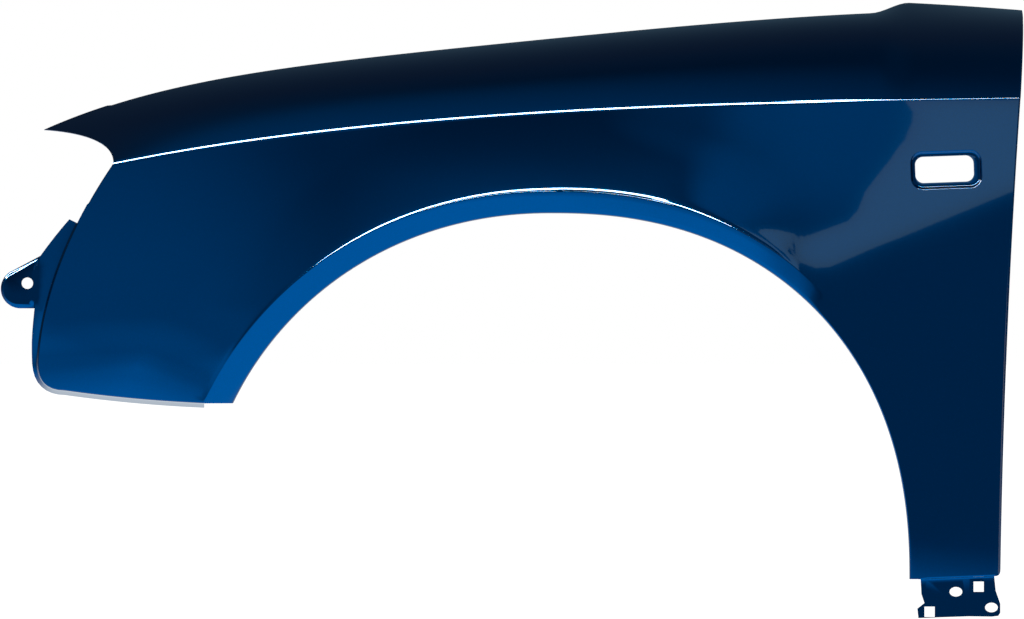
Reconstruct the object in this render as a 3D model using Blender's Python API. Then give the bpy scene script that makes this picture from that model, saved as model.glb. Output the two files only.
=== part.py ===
# Left front fender panel of a passenger car: one painted steel stamping with its folds, flanges, ear and tabs.
# X runs to the rear, Y inboard from the outer face and Z up. The panel is laid out from the wheel's centre,
# and is then placed so that the origin lies on the underside of its rail flange.

import math

import bmesh
import bpy
from mathutils import Vector

# Sheet
SHEET_THICKNESS = 0.0008
FOLD_RADIUS = 0.0016
CREASE_RADIUS = 0.004
HOOD_FOLD_RADIUS = 0.003
FOLD_STEPS = 2
SMOOTH_ANGLE = math.radians(30)

# Paint
PAINT_COLOUR = (0.004, 0.032, 0.135, 1.0)
PAINT_ROUGHNESS = 0.18
PAINT_METALLIC = 0.5

# Wheel arch opening, from the wheel's centre
ARCH_FRONT_REACH = 0.3568
ARCH_REAR_REACH = 0.3587
ARCH_HEIGHT = 0.3565
ARCH_FRONT_FULLNESS = 2.083
ARCH_REAR_FULLNESS = 2.265
FRONT_FOOT_HEIGHT = 0.1656
REAR_FOOT_DROP = 0.0097
ARCH_LIP_DEPTH = 0.018

# Band turned in round the arch, and the flare above it
BAND_FRONT_WIDTH = 0.027
BAND_TOP_WIDTH = 0.0215
BAND_REAR_WIDTH = 0.011
BAND_TURN_IN = 0.011
BAND_GONE_ANGLE = math.radians(36)
BAND_FULL_ANGLE = math.radians(60)
FLARE_HEIGHT = 0.008
FLARE_WIDTH = 0.075

# Lengths of the panel ahead of and behind the arch
FRONT_LENGTH = 0.1617
CREASE_FRONT_LENGTH = 0.0848
NOSE_LENGTH = 0.0719
REAR_LENGTH = 0.0908
DOOR_LINE_RAKE = 0.0199
DOOR_LINE_BOW_SHARE = 0.84
HOOD_CORNER_RAKE = 0.0061
FRONT_CORNER_RADIUS = 0.028
FRONT_CORNER_RISE = 0.0125
FRONT_EDGE_BOW = 0.0075
BOTTOM_EDGE_SAG = 0.0035
REAR_CORNER_RADIUS = 0.006
REAR_CORNER_RISE = 0.003

# Heights of the shoulder crease and the hood line
CREASE_ABOVE_ARCH = 0.1151
CREASE_RISE = 0.064
CREASE_RISE_SHARES = (0.0, 0.872, 0.931, 1.0)
SHOULDER_HEIGHT = 0.0909
HOOD_RISE = 0.1201
HOOD_RISE_SHARES = (0.0, 0.73, 0.52, 0.9, 1.0, 1.0)

# Depths, inboard from the outer face
PLAN_WRAP = 0.12
PLAN_WRAP_START = 0.35
PLAN_WRAP_POWER = 2.3
HOOD_INSET = 0.215
HOOD_INSET_SHARES = (1.0, 0.72, 0.52, 0.56, 0.62)
KNEE_FRONT_SHARES = (0.3, 0.83)
KNEE_REAR_SHARES = (0.3, 0.92)
SIDE_LEAN_SLOPE = 0.06
CROWN_FRONT_DEPTH = 0.12
CROWN_REAR_DEPTH = 0.2
TUCK_DEPTH = 0.014
TUCK_HEIGHT = 0.1
TUCK_POWER = 2

# Raised rear corner beside the hood
HORN_HEIGHT = 0.0098
HORN_INSET = 0.02
HORN_LENGTH = 0.153
HORN_RISE_LENGTH = 0.038
HORN_POWER = 4

# Hood gutter and rail flange
GUTTER_LEAN = 0.004
GUTTER_FRONT_DEPTH = 0.014
GUTTER_REAR_DEPTH = 0.032
RAIL_WIDTH = 0.026
RAIL_HOLE_DIAMETER = 0.009
RAIL_HOLE_SHARES = (0.05, 0.27, 0.5, 0.73, 0.95)
RAIL_SEAT_SHARE = 0.615

# Flanges along the other edges
LAMP_FLANGE_WIDTH = 0.012
LAMP_FLANGE_RAKE = 0.006
BOTTOM_FLANGE_WIDTH = 0.016
BOTTOM_FLANGE_DROP = 0.0045
DOOR_FLANGE_WIDTH = 0.013
PILLAR_TAB_WIDTH = 0.028
PILLAR_HOLE_DIAMETER = 0.009

# Front strip and its ear
STRIP_SET_BACK = 0.004
STRIP_WIDTH = 0.015
STRIP_WIDTH_SHARES = (0.6, 1.0, 1.4, 1.05, 0.8, 0.65, 0.52, 0.36, 0.32, 0.3)
EAR_RADIUS = 0.0199
EAR_REACH = 0.0168
EAR_START_ANGLE = math.radians(112)
EAR_END_ANGLE = math.radians(268)
EAR_STEPS = 9
EAR_FOOT_SHARE = 0.39
EAR_RIM_SHARE = 0.25
EAR_EMBOSS = 0.002
EAR_HOLE_DIAMETER = 0.0116
EAR_HOLE_BACK = 0.007
EAR_HOLE_RISE = 0.0055

# Rear lower tab, set inboard under the skin
TAB_SET_BACK = 0.0055
TAB_DROP = 0.039
TAB_TURN_IN = 0.003
TAB_TOP_SHARES = (0.0, 0.322, 0.657, 1.0)
TAB_FRONT_SHARES = ((0.011, 0.385), (0.052, 0.615), (-0.044, 0.757), (-0.03, 1.0))
TAB_FOLD_SHARES = (0.657, 0.955)
TAB_REAR_SHARES = ((0.966, 0.965), (1.055, 0.945), (1.082, 0.865), (1.082, 0.634), (1.02, 0.3))
TAB_OVAL_LENGTH = 0.0128
TAB_OVAL_HEIGHT = 0.0096
TAB_OVAL_SHARES = ((0.479, 0.325), (0.962, 0.73))
TAB_SQUARE_SIDE = 0.0103
TAB_SQUARE_SHARES = ((0.788, 0.195), (0.122, 0.838))

# Side repeater window and the recess round it
WINDOW_LENGTH = 0.0585
WINDOW_HEIGHT = 0.0262
WINDOW_RADIUS = 0.008
WINDOW_TILT = math.radians(2)
WINDOW_AHEAD_OF_DOOR = 0.0761
WINDOW_BELOW_CREASE = 0.0712
RECESS_FRONT_RIM = 0.005
RECESS_REAR_RIM = 0.0083
RECESS_UPPER_RIM = 0.0055
RECESS_LOWER_RIM = 0.0068
RECESS_RADIUS = 0.012
RECESS_DEPTH = 0.0025
RECESS_WALL = 0.003
RECESS_MARGIN = 0.006

# Columns, rows and other mesh counts
FRONT_COLUMNS = 5
ARCH_COLUMNS = 34
SIDE_ROWS = 12
CORNER_ROWS = 2
SHOULDER_ROWS = 7
BAND_ROWS = 2
BEFORE_GUTTER_COLUMNS = 4
LAMP_UPPER_ROWS = 3
LAMP_LOWER_ROWS = 2
ABOVE_STRIP_ROWS = 3
ABOVE_EAR_ROWS = 5
EAR_FOOT_ROWS = 7
DOOR_FREE_ROWS = 2
ABOVE_PILLAR_ROWS = 1
PILLAR_FOOT_ROWS = 2
WINDOW_CORNER_STEPS = 5
HOLE_SIDES = 24
ARCH_FRONT_SHARE = 0.085
ARCH_REAR_SHARE = 0.965
EVEN_SPACING_SHARE = 0.5
ROW_CROWDING = 1.2
EDGE_PULL_POWER = 4
CUT_OVERRUN = 0.006

# Places worked out from the sizes
CREASE_REAR_HEIGHT = ARCH_HEIGHT + CREASE_ABOVE_ARCH
CREASE_FRONT_HEIGHT = CREASE_REAR_HEIGHT - CREASE_RISE
HOOD_REAR_HEIGHT = CREASE_REAR_HEIGHT + SHOULDER_HEIGHT
NOSE_HEIGHT = HOOD_REAR_HEIGHT - HOOD_RISE
FRONT_END = -ARCH_FRONT_REACH - FRONT_LENGTH
CREASE_FRONT_END = -ARCH_FRONT_REACH - CREASE_FRONT_LENGTH
NOSE_END = CREASE_FRONT_END - NOSE_LENGTH
DOOR_FOOT_END = ARCH_REAR_REACH + REAR_LENGTH
CREASE_REAR_END = DOOR_FOOT_END + DOOR_LINE_RAKE
HOOD_REAR_END = CREASE_REAR_END + HOOD_CORNER_RAKE
FRONT_CORNER_HEIGHT = FRONT_FOOT_HEIGHT + FRONT_CORNER_RISE
REAR_CORNER_HEIGHT = REAR_CORNER_RISE - REAR_FOOT_DROP


def mix(start, end, share):
    """The value that lies a share of the way from start to end."""
    return start + (end - start) * share


def curve(controls, share):
    """A point on the Bezier curve of any number of controls, which are numbers or vectors."""
    controls = list(controls)
    while len(controls) > 1:
        controls = [mix(a, b, share) for a, b in zip(controls, controls[1:])]
    return controls[0]


def ease(value, start, end):
    """Rises smoothly from 0 at start to 1 at end."""
    share = min(1, max(0, (value - start) / (end - start)))
    return share * share * (3 - 2 * share)


def place(x, z, y=0):
    return Vector((x, y, z))


# Surface of the side


def crease_height(share):
    return CREASE_FRONT_HEIGHT + CREASE_RISE * curve(CREASE_RISE_SHARES, share)


def arch_ring(x, z):
    """How far a place lies outside the arch opening, roughly square to its edge."""
    if x < 0:
        reach, power, base = ARCH_FRONT_REACH, ARCH_FRONT_FULLNESS, 0
    else:
        reach, power, base = ARCH_REAR_REACH, ARCH_REAR_FULLNESS, REAR_FOOT_DROP
    across = abs(x) / reach
    up = max(0, (z + base) / (ARCH_HEIGHT + base))
    return ((across**power + up**power) ** (1 / power) - 1) * ARCH_HEIGHT


def band_share(x, z):
    """One where the band round the arch is at its full depth, and zero where it has faded out at the rear."""
    return ease(math.atan2(z, x), BAND_GONE_ANGLE, BAND_FULL_ANGLE)


def band_width(x, z):
    """The width of the band in the direction of a place."""
    side = BAND_FRONT_WIDTH if x < 0 else BAND_REAR_WIDTH
    return mix(BAND_TOP_WIDTH, side, x * x / (x * x + z * z))


def side_depth(x, z):
    """How far inboard the side of the panel lies at a place seen from outside."""
    share = (x - CREASE_FRONT_END) / (CREASE_REAR_END - CREASE_FRONT_END)
    ahead = max(0, (PLAN_WRAP_START - x) / (PLAN_WRAP_START - CREASE_FRONT_END))
    below = crease_height(share) - z
    crown = mix(CROWN_FRONT_DEPTH, CROWN_REAR_DEPTH, share)
    lean = SIDE_LEAN_SLOPE * below * (below / (2 * crown) - 1)
    low = max(0, (FRONT_FOOT_HEIGHT + TUCK_HEIGHT - z) / TUCK_HEIGHT)
    tuck = TUCK_DEPTH * low**TUCK_POWER * ease(-x, 0, ARCH_FRONT_REACH)
    near = max(0, 1 - max(0, arch_ring(x, z) - band_width(x, z)) / FLARE_WIDTH)
    flare = FLARE_HEIGHT * band_share(x, z) * near * near
    return PLAN_WRAP * ahead**PLAN_WRAP_POWER + lean + tuck - flare


def on_side(point):
    """The place on the side's surface that is seen at a point from outside."""
    return place(point.x, point.z, side_depth(point.x, point.z))


def crease_point(share):
    return on_side(place(mix(CREASE_FRONT_END, CREASE_REAR_END, share), crease_height(share)))


# Surface of the shoulder, from the crease to the hood line


def horn_share(x):
    """Rises over the horn's first length and then falls evenly to the rear corner."""
    peak = HOOD_REAR_END - HORN_LENGTH + HORN_RISE_LENGTH
    if x < peak:
        return ease(x, peak - HORN_RISE_LENGTH, peak)
    return (HOOD_REAR_END - x) / (HOOD_REAR_END - peak)


def hood_point(share):
    """A point on the hood line, without the horn's rise."""
    x = mix(NOSE_END, HOOD_REAR_END, share)
    horn_start = HOOD_REAR_END - HORN_LENGTH
    inset = HOOD_INSET * curve(HOOD_INSET_SHARES, share)
    inset += HORN_INSET * ease(x, horn_start, horn_start + HORN_RISE_LENGTH)
    return place(x, NOSE_HEIGHT + HOOD_RISE * curve(HOOD_RISE_SHARES, share), inset)


def shoulder_point(share, up):
    """A point on the shoulder, a share of the way along the panel and a share of the way up to the hood line."""
    foot, head = crease_point(share), hood_point(share)
    across = mix(KNEE_FRONT_SHARES[0], KNEE_REAR_SHARES[0], share)
    rise = mix(KNEE_FRONT_SHARES[1], KNEE_REAR_SHARES[1], share)
    knee = place(foot.x + HOOD_CORNER_RAKE * share, mix(foot.z, head.z, rise), mix(foot.y, head.y, across))
    point = curve((foot, knee, head), up)
    point.z += HORN_HEIGHT * horn_share(point.x) * up**HORN_POWER
    return point


# Lines of the skin, seen from outside and walked from the front to the rear or from the top down


def arch_point(turn, front, top, rear):
    """A point on the line that stands the given widths outside the opening, at a turn from the rear foot."""
    cosine, sine = math.cos(turn), max(0, math.sin(turn))
    if cosine < 0:
        power = 2 / ARCH_FRONT_FULLNESS
        return place(-(ARCH_FRONT_REACH + front) * (-cosine) ** power, (ARCH_HEIGHT + top) * sine**power)
    power = 2 / ARCH_REAR_FULLNESS
    height = (ARCH_HEIGHT + REAR_FOOT_DROP + top) * sine**power - REAR_FOOT_DROP
    return place((ARCH_REAR_REACH + rear) * cosine**power, height)


def arch_line(front=0, top=0, rear=0):
    foot_share = FRONT_FOOT_HEIGHT / (ARCH_HEIGHT + top)
    first = math.pi - math.asin(foot_share ** (ARCH_FRONT_FULLNESS / 2))
    return [arch_point(first * (1 - step / ARCH_COLUMNS), front, top, rear) for step in range(ARCH_COLUMNS + 1)]


def band_line():
    """The line where the band round the arch meets the side."""
    return arch_line(BAND_FRONT_WIDTH, BAND_TOP_WIDTH, BAND_REAR_WIDTH)


def front_corner(share):
    """The rounded lower front corner, from the front edge to the bottom edge."""
    corner = place(FRONT_END, FRONT_CORNER_HEIGHT)
    start = place(FRONT_END, FRONT_CORNER_HEIGHT + FRONT_CORNER_RADIUS)
    end = place(FRONT_END + FRONT_CORNER_RADIUS, FRONT_CORNER_HEIGHT)
    return curve((start, corner, end), share)


def rear_corner(share):
    """The rounded lower rear corner, from the door edge to the bottom edge."""
    corner = place(DOOR_FOOT_END, REAR_CORNER_HEIGHT)
    start = place(DOOR_FOOT_END, REAR_CORNER_HEIGHT + REAR_CORNER_RADIUS)
    end = place(DOOR_FOOT_END - REAR_CORNER_RADIUS, REAR_CORNER_HEIGHT)
    return curve((start, corner, end), share)


def edge_with_corner(start, knee, corner):
    """An edge from the crease to a corner, which its last rows round as far as the corner's middle."""
    rows = SIDE_ROWS - CORNER_ROWS
    knee_point = place(knee, (start.z + corner(0).z) / 2)
    line = [curve((start, knee_point, corner(0)), row / rows) for row in range(rows + 1)]
    return line + [corner(row / CORNER_ROWS / 2) for row in range(1, CORNER_ROWS + 1)]


def front_edge():
    start = place(CREASE_FRONT_END, CREASE_FRONT_HEIGHT)
    return edge_with_corner(start, FRONT_END + FRONT_EDGE_BOW, front_corner)


def door_edge():
    start = place(CREASE_REAR_END, CREASE_REAR_HEIGHT)
    return edge_with_corner(start, mix(start.x, DOOR_FOOT_END, DOOR_LINE_BOW_SHARE), rear_corner)


def bottom_line():
    """The foot of every column: the bottom edge, the line of the band round the arch and the rear bottom edge."""
    band = band_line()
    knee = (front_corner(1) + band[0]) / 2 - place(0, BOTTOM_EDGE_SAG)
    front = [curve((front_corner(1), knee, band[0]), step / (FRONT_COLUMNS - 1)) for step in range(FRONT_COLUMNS - 1)]
    rear = [mix(band[-1], rear_corner(1), share) for share in TAB_TOP_SHARES[1:]]
    return [front_corner(0.5)] + front + band + rear + [rear_corner(0.5)]


def column_shares():
    """Where each column meets the crease, as shares of its length."""
    band = band_line()
    front = [ARCH_FRONT_SHARE * step / FRONT_COLUMNS for step in range(FRONT_COLUMNS)]
    arch = []
    for step, point in enumerate(band):
        across = (point.x - band[0].x) / (band[-1].x - band[0].x)
        share = mix(across, step / ARCH_COLUMNS, EVEN_SPACING_SHARE)
        arch.append(mix(ARCH_FRONT_SHARE, ARCH_REAR_SHARE, share))
    steps = len(TAB_TOP_SHARES)
    rear = [mix(ARCH_REAR_SHARE, 1, step / steps) for step in range(1, steps + 1)]
    return front + arch + rear


# Mesh of the skin


def add_line(mesh, points):
    return [mesh.verts.new(point) for point in points]


def bridge(mesh, edge, flange):
    """Faces from an edge to a line outside it. The edge is walked anticlockwise, as seen from outside."""
    faces = []
    for a, b, c, d in zip(edge, flange, flange[1:], edge[1:]):
        faces.append(mesh.faces.new((a, b, c, d)))
    return faces


def side_grid(shares):
    """Rows of places on the side, from the crease down to the bottom line."""
    top = [crease_point(share) for share in shares]
    bottom, front, rear = bottom_line(), front_edge(), door_edge()
    rows = []
    for row in range(1, SIDE_ROWS + 1):
        down = 1 - (1 - row / SIDE_ROWS) ** ROW_CROWDING
        front_pull = front[row] - mix(front[0], front[-1], down)
        rear_pull = rear[row] - mix(rear[0], rear[-1], down)
        line = []
        for share, head, foot in zip(shares, top, bottom):
            point = mix(place(head.x, head.z), foot, down)
            point += front_pull * (1 - share) ** EDGE_PULL_POWER + rear_pull * share**EDGE_PULL_POWER
            line.append(on_side(point))
        rows.append(line)
    return rows


def build_skin(mesh):
    """The side and the shoulder, which share the crease. Returns their rows of vertices and the side's faces."""
    shares = column_shares()
    crease = add_line(mesh, [crease_point(share) for share in shares])
    side = [crease] + [add_line(mesh, row) for row in side_grid(shares)]
    shoulder = [crease]
    for row in range(1, SHOULDER_ROWS + 1):
        shoulder.append(add_line(mesh, [shoulder_point(share, row / SHOULDER_ROWS) for share in shares]))
    faces = []
    for upper, lower in zip(side, side[1:]):
        faces += bridge(mesh, upper, lower)
    for lower, upper in zip(shoulder, shoulder[1:]):
        bridge(mesh, upper, lower)
    mark_fold(mesh, crease, CREASE_RADIUS)
    return side, shoulder, faces


# Side repeater window


def rounded_rectangle(centre, front, rear, up, down, radius):
    """A tilted rectangle with round corners, by its reach each way from the centre, walked anticlockwise."""
    points = []
    corners = ((rear, up), (-front, up), (-front, -down), (rear, -down))
    for turn, (x, z) in enumerate(corners):
        inner_x = x - math.copysign(radius, x)
        inner_z = z - math.copysign(radius, z)
        for step in range(WINDOW_CORNER_STEPS + 1):
            angle = (turn + step / WINDOW_CORNER_STEPS) * math.pi / 2
            across = inner_x + radius * math.cos(angle)
            above = inner_z + radius * math.sin(angle)
            tilted_x = across * math.cos(WINDOW_TILT) - above * math.sin(WINDOW_TILT)
            tilted_z = across * math.sin(WINDOW_TILT) + above * math.cos(WINDOW_TILT)
            points.append(centre + place(tilted_x, tilted_z))
    return points


def recess_lines():
    """The recess's outer line on the side, its floor line and the window's edge."""
    centre = place(CREASE_REAR_END - WINDOW_AHEAD_OF_DOOR, CREASE_REAR_HEIGHT - WINDOW_BELOW_CREASE)
    length, height = WINDOW_LENGTH / 2, WINDOW_HEIGHT / 2
    reach = (
        length + RECESS_FRONT_RIM,
        length + RECESS_REAR_RIM,
        height + RECESS_UPPER_RIM,
        height + RECESS_LOWER_RIM,
    )
    outer = rounded_rectangle(centre, *reach, RECESS_RADIUS)
    floor = rounded_rectangle(centre, *(size - RECESS_WALL for size in reach), RECESS_RADIUS - RECESS_WALL)
    window = rounded_rectangle(centre, length, length, height, height, WINDOW_RADIUS)
    lines = [[on_side(point) for point in line] for line in (outer, floor, window)]
    for point in lines[1] + lines[2]:
        point.y += RECESS_DEPTH
    return lines


def build_window(mesh, side_faces):
    """Clears the side's faces round the window and fills the gap with the recess."""
    outer, floor, window = recess_lines()
    low = place(min(p.x for p in outer) - RECESS_MARGIN, min(p.z for p in outer) - RECESS_MARGIN)
    high = place(max(p.x for p in outer) + RECESS_MARGIN, max(p.z for p in outer) + RECESS_MARGIN)
    cleared = []
    for face in side_faces:
        xs = [vertex.co.x for vertex in face.verts]
        zs = [vertex.co.z for vertex in face.verts]
        if min(xs) < high.x and max(xs) > low.x and min(zs) < high.z and max(zs) > low.z:
            cleared.append(face)
    inside = set(cleared)
    gap = [edge for face in cleared for edge in face.edges if len(inside.intersection(edge.link_faces)) == 1]
    bmesh.ops.delete(mesh, geom=cleared, context="FACES")
    rings = [add_line(mesh, line) for line in (outer, floor, window)]
    ring_edges = [mesh.edges.new((a, b)) for a, b in zip(rings[0], rings[0][1:] + rings[0][:1])]
    bmesh.ops.bridge_loops(mesh, edges=gap + ring_edges)
    for ring, inner in zip(rings, rings[1:]):
        bridge(mesh, inner + inner[:1], ring + ring[:1])


# Flanges


def mark_fold(mesh, line, radius):
    """Notes the radius that the sheet is bent to along a line, as a share of the largest."""
    layer = mesh.edges.layers.float["bevel_weight_edge"]
    for a, b in zip(line, line[1:]):
        mesh.edges.get((a, b))[layer] = radius / CREASE_RADIUS


def shifted(points, x=0, y=0, z=0):
    return [point.co + Vector((x, y, z)) for point in points]


def build_band(mesh, side):
    """The band turned in round the arch, and the lip behind its edge."""
    upper = side[-1][FRONT_COLUMNS : FRONT_COLUMNS + ARCH_COLUMNS + 1]
    band_fold = upper
    start = [vertex.co.copy() for vertex in upper]
    end = []
    for foot, point in zip(start, arch_line()):
        turn_in = BAND_TURN_IN * band_share(foot.x, foot.z)
        end.append(place(point.x, point.z, foot.y + turn_in))
    for row in range(1, BAND_ROWS + 1):
        lower = add_line(mesh, [mix(a, b, row / BAND_ROWS) for a, b in zip(start, end)])
        bridge(mesh, upper, lower)
        upper = lower
    bridge(mesh, upper, add_line(mesh, shifted(upper, y=ARCH_LIP_DEPTH)))
    mark_fold(mesh, band_fold, CREASE_RADIUS)
    mark_fold(mesh, upper, FOLD_RADIUS)


def rail_height(x):
    """The rail flange is one plane, so that it sits flat along the body's rail."""
    front = hood_point(column_shares()[BEFORE_GUTTER_COLUMNS])
    start = front.z - GUTTER_FRONT_DEPTH
    end = HOOD_REAR_HEIGHT - GUTTER_REAR_DEPTH
    return mix(start, end, (x - front.x) / (HOOD_REAR_END - front.x))


def build_gutter(mesh, shoulder):
    """The wall that drops from the hood line, and the flange that bolts to the body's rail."""
    hood = shoulder[-1][BEFORE_GUTTER_COLUMNS:]
    wall = [place(v.co.x, rail_height(v.co.x), v.co.y + GUTTER_LEAN) for v in hood]
    flange = [point + Vector((0, RAIL_WIDTH, 0)) for point in wall]
    wall_line, flange_line = add_line(mesh, wall), add_line(mesh, flange)
    bridge(mesh, hood[::-1], wall_line[::-1])
    bridge(mesh, wall_line[::-1], flange_line[::-1])
    mark_fold(mesh, hood, HOOD_FOLD_RADIUS)
    mark_fold(mesh, wall_line, HOOD_FOLD_RADIUS)
    return wall, flange


def fold_in(mesh, edge, width):
    """A flange folded square to the panel along an edge."""
    mesh.normal_update()
    flange = add_line(mesh, [vertex.co - vertex.normal * width for vertex in edge])
    bridge(mesh, edge, flange)
    mark_fold(mesh, edge, FOLD_RADIUS)
    return flange


def build_lamp_flange(mesh, side, shoulder):
    """The flange behind the lamp's edge, raked to the rear so that it hides behind the skin."""
    rows = [row[0] for row in shoulder[LAMP_UPPER_ROWS:0:-1]] + [row[0] for row in side[: LAMP_LOWER_ROWS + 1]]
    for vertex in fold_in(mesh, rows, LAMP_FLANGE_WIDTH):
        vertex.co.x += LAMP_FLANGE_RAKE


def build_door_flange(mesh, side, shoulder):
    """The flange beside the door, with its pillar tab. Returns the tab's four corners."""
    rows = [row[-1] for row in side[-2::-1]] + [row[-1] for row in shoulder[1:-DOOR_FREE_ROWS]]
    flange = fold_in(mesh, rows, DOOR_FLANGE_WIDTH)
    crease = len(side) - 2
    root = flange[crease - PILLAR_FOOT_ROWS : crease - ABOVE_PILLAR_ROWS + 1]
    tab = add_line(mesh, shifted(root, y=PILLAR_TAB_WIDTH))
    bridge(mesh, root, tab)
    return [vertex.co.copy() for vertex in (root[0], root[-1], tab[0], tab[-1])]


def build_front_flange(mesh, side):
    """The flange set back along the front edge, round the corner and under the bottom edge. Returns its outer line."""
    edge = [row[0] for row in side[ABOVE_STRIP_ROWS:]] + side[-1][1 : FRONT_COLUMNS + 1]
    inner = add_line(mesh, shifted(edge, y=STRIP_SET_BACK))
    bridge(mesh, edge, inner)
    widths = [STRIP_WIDTH * share for share in STRIP_WIDTH_SHARES] + [BOTTOM_FLANGE_DROP] * FRONT_COLUMNS
    points = []
    for index, (vertex, width) in enumerate(zip(inner, widths)):
        before = inner[max(0, index - 1)].co
        after = inner[min(index + 1, len(inner) - 1)].co
        outward = place(after.z - before.z, before.x - after.x).normalized()
        point = vertex.co + outward * width
        point.y += side_depth(point.x, point.z) - side_depth(vertex.co.x, vertex.co.z)
        point.y += BOTTOM_FLANGE_WIDTH * max(0, -outward.z) ** 2
        points.append(point)
    outer = add_line(mesh, points)
    bridge(mesh, inner, outer)
    mark_fold(mesh, edge, FOLD_RADIUS)
    mark_fold(mesh, inner, FOLD_RADIUS)
    return outer


def build_ear(mesh, strip):
    """The ear that stands out of the strip, with a raised middle. Returns its hole's centre."""
    root = strip[ABOVE_EAR_ROWS - ABOVE_STRIP_ROWS : EAR_FOOT_ROWS - ABOVE_STRIP_ROWS + 1]
    below = strip[EAR_FOOT_ROWS - ABOVE_STRIP_ROWS + 1]
    root.append(bmesh.utils.edge_split(mesh.edges.get((root[-1], below)), root[-1], EAR_FOOT_SHARE)[1])
    depth = sum(vertex.co.y for vertex in root) / len(root)
    centre = place(FRONT_END - EAR_REACH, root[-1].co.z + EAR_RADIUS, depth)
    tip = []
    for step in range(EAR_STEPS + 1):
        angle = mix(EAR_START_ANGLE, EAR_END_ANGLE, step / EAR_STEPS)
        tip.append(centre + place(EAR_RADIUS * math.cos(angle), EAR_RADIUS * math.sin(angle)))
    outline = [root[0]] + add_line(mesh, tip) + root[:0:-1]
    middle = sum((vertex.co for vertex in outline), Vector()) / len(outline)
    raised = [mix(vertex.co, middle, EAR_RIM_SHARE) for vertex in outline]
    for point in raised:
        point.y = depth - EAR_EMBOSS
    plateau = add_line(mesh, raised)
    bridge(mesh, plateau + plateau[:1], outline + outline[:1])
    mesh.faces.new(plateau)
    return centre + place(EAR_HOLE_BACK, EAR_HOLE_RISE)


def build_rear_tab(mesh, side):
    """The tab set inboard under the rear bottom edge, in two flats that meet at a fold. Returns its place function."""
    first = FRONT_COLUMNS + ARCH_COLUMNS
    edge = side[-1][first : first + len(TAB_TOP_SHARES)]
    depth = sum(vertex.co.y for vertex in edge) / len(edge) + TAB_SET_BACK
    start, length = edge[0].co.x, edge[-1].co.x - edge[0].co.x
    height = edge[0].co.z

    def tab_place(across, down):
        past_fold = max(0, across - TAB_FOLD_SHARES[0]) / (1 - TAB_FOLD_SHARES[0])
        return place(start + length * across, height - TAB_DROP * down, depth + TAB_TURN_IN * past_fold)

    top = [tab_place(share, 0) for share in TAB_TOP_SHARES]
    for point, vertex in zip(top, edge):
        point.z = vertex.co.z
    top_line = add_line(mesh, top)
    bridge(mesh, edge, top_line)
    front = add_line(mesh, [tab_place(*shares) for shares in TAB_FRONT_SHARES])
    fold = mesh.verts.new(tab_place(*TAB_FOLD_SHARES))
    rear = add_line(mesh, [tab_place(*shares) for shares in TAB_REAR_SHARES])
    mark_fold(mesh, edge, FOLD_RADIUS)
    mark_fold(mesh, top_line, FOLD_RADIUS)
    mesh.faces.new([top_line[0]] + front + [fold] + top_line[2:0:-1])
    mesh.faces.new([top_line[2], fold] + rear + [top_line[3]])
    return tab_place


# Holes


def prism(mesh, outline, reach):
    """A closed bar whose outline is given at its middle and which reaches the same way to both sides."""
    near = add_line(mesh, [point - reach for point in outline])
    far = add_line(mesh, [point + reach for point in outline])
    bridge(mesh, near + near[:1], far + far[:1])
    mesh.faces.new(near)
    mesh.faces.new(far[::-1])


def oval(centre, length, height, along, up):
    """A ring of points, by its two sizes and the directions that they run in."""
    points = []
    for step in range(HOLE_SIDES):
        angle = 2 * math.pi * step / HOLE_SIDES
        points.append(centre + along * (math.cos(angle) * length / 2) + up * (math.sin(angle) * height / 2))
    return points


def square(centre, side):
    half = side / 2
    corners = ((-half, -half), (half, -half), (half, half), (-half, half))
    return [centre + place(x, z) for x, z in corners]


def build_cutter(wall, flange, pillar, ear_centre, tab_place):
    """One object with a bar for every hole."""
    mesh = bmesh.new()
    along, inboard, up = Vector((1, 0, 0)), Vector((0, 1, 0)), Vector((0, 0, 1))
    middle = [(a + b) / 2 for a, b in zip(wall, flange)]
    for share in RAIL_HOLE_SHARES:
        centre = point_along(middle, share)
        prism(mesh, oval(centre, RAIL_HOLE_DIAMETER, RAIL_HOLE_DIAMETER, along, inboard), up * CUT_OVERRUN)
    centre = sum(pillar, Vector()) / len(pillar)
    prism(mesh, oval(centre, PILLAR_HOLE_DIAMETER, PILLAR_HOLE_DIAMETER, inboard, up), along * CUT_OVERRUN)
    prism(mesh, oval(ear_centre, EAR_HOLE_DIAMETER, EAR_HOLE_DIAMETER, along, up), inboard * CUT_OVERRUN)
    for shares in TAB_OVAL_SHARES:
        prism(mesh, oval(tab_place(*shares), TAB_OVAL_LENGTH, TAB_OVAL_HEIGHT, along, up), inboard * CUT_OVERRUN)
    for shares in TAB_SQUARE_SHARES:
        prism(mesh, square(tab_place(*shares), TAB_SQUARE_SIDE), inboard * CUT_OVERRUN)
    bmesh.ops.recalc_face_normals(mesh, faces=mesh.faces[:])
    return new_object("hole_cutter", mesh)


def point_along(points, share):
    """The point at a share of a line's X range."""
    x = mix(points[0].x, points[-1].x, share)
    for a, b in zip(points, points[1:]):
        if x <= b.x:
            return mix(a, b, (x - a.x) / (b.x - a.x))
    return points[-1]


def rail_seat(wall, flange):
    """The middle of the rail flange's underside, between two of its holes."""
    along = place(wall[-1].x - wall[0].x, wall[-1].z - wall[0].z).normalized()
    middle = [(a + b) / 2 for a, b in zip(wall, flange)]
    return point_along(middle, RAIL_SEAT_SHARE) - place(-along.z, along.x) * SHEET_THICKNESS


# Objects


def new_object(name, mesh):
    data = bpy.data.meshes.new(name)
    mesh.to_mesh(data)
    mesh.free()
    thing = bpy.data.objects.new(name, data)
    bpy.context.scene.collection.objects.link(thing)
    return thing


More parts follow.
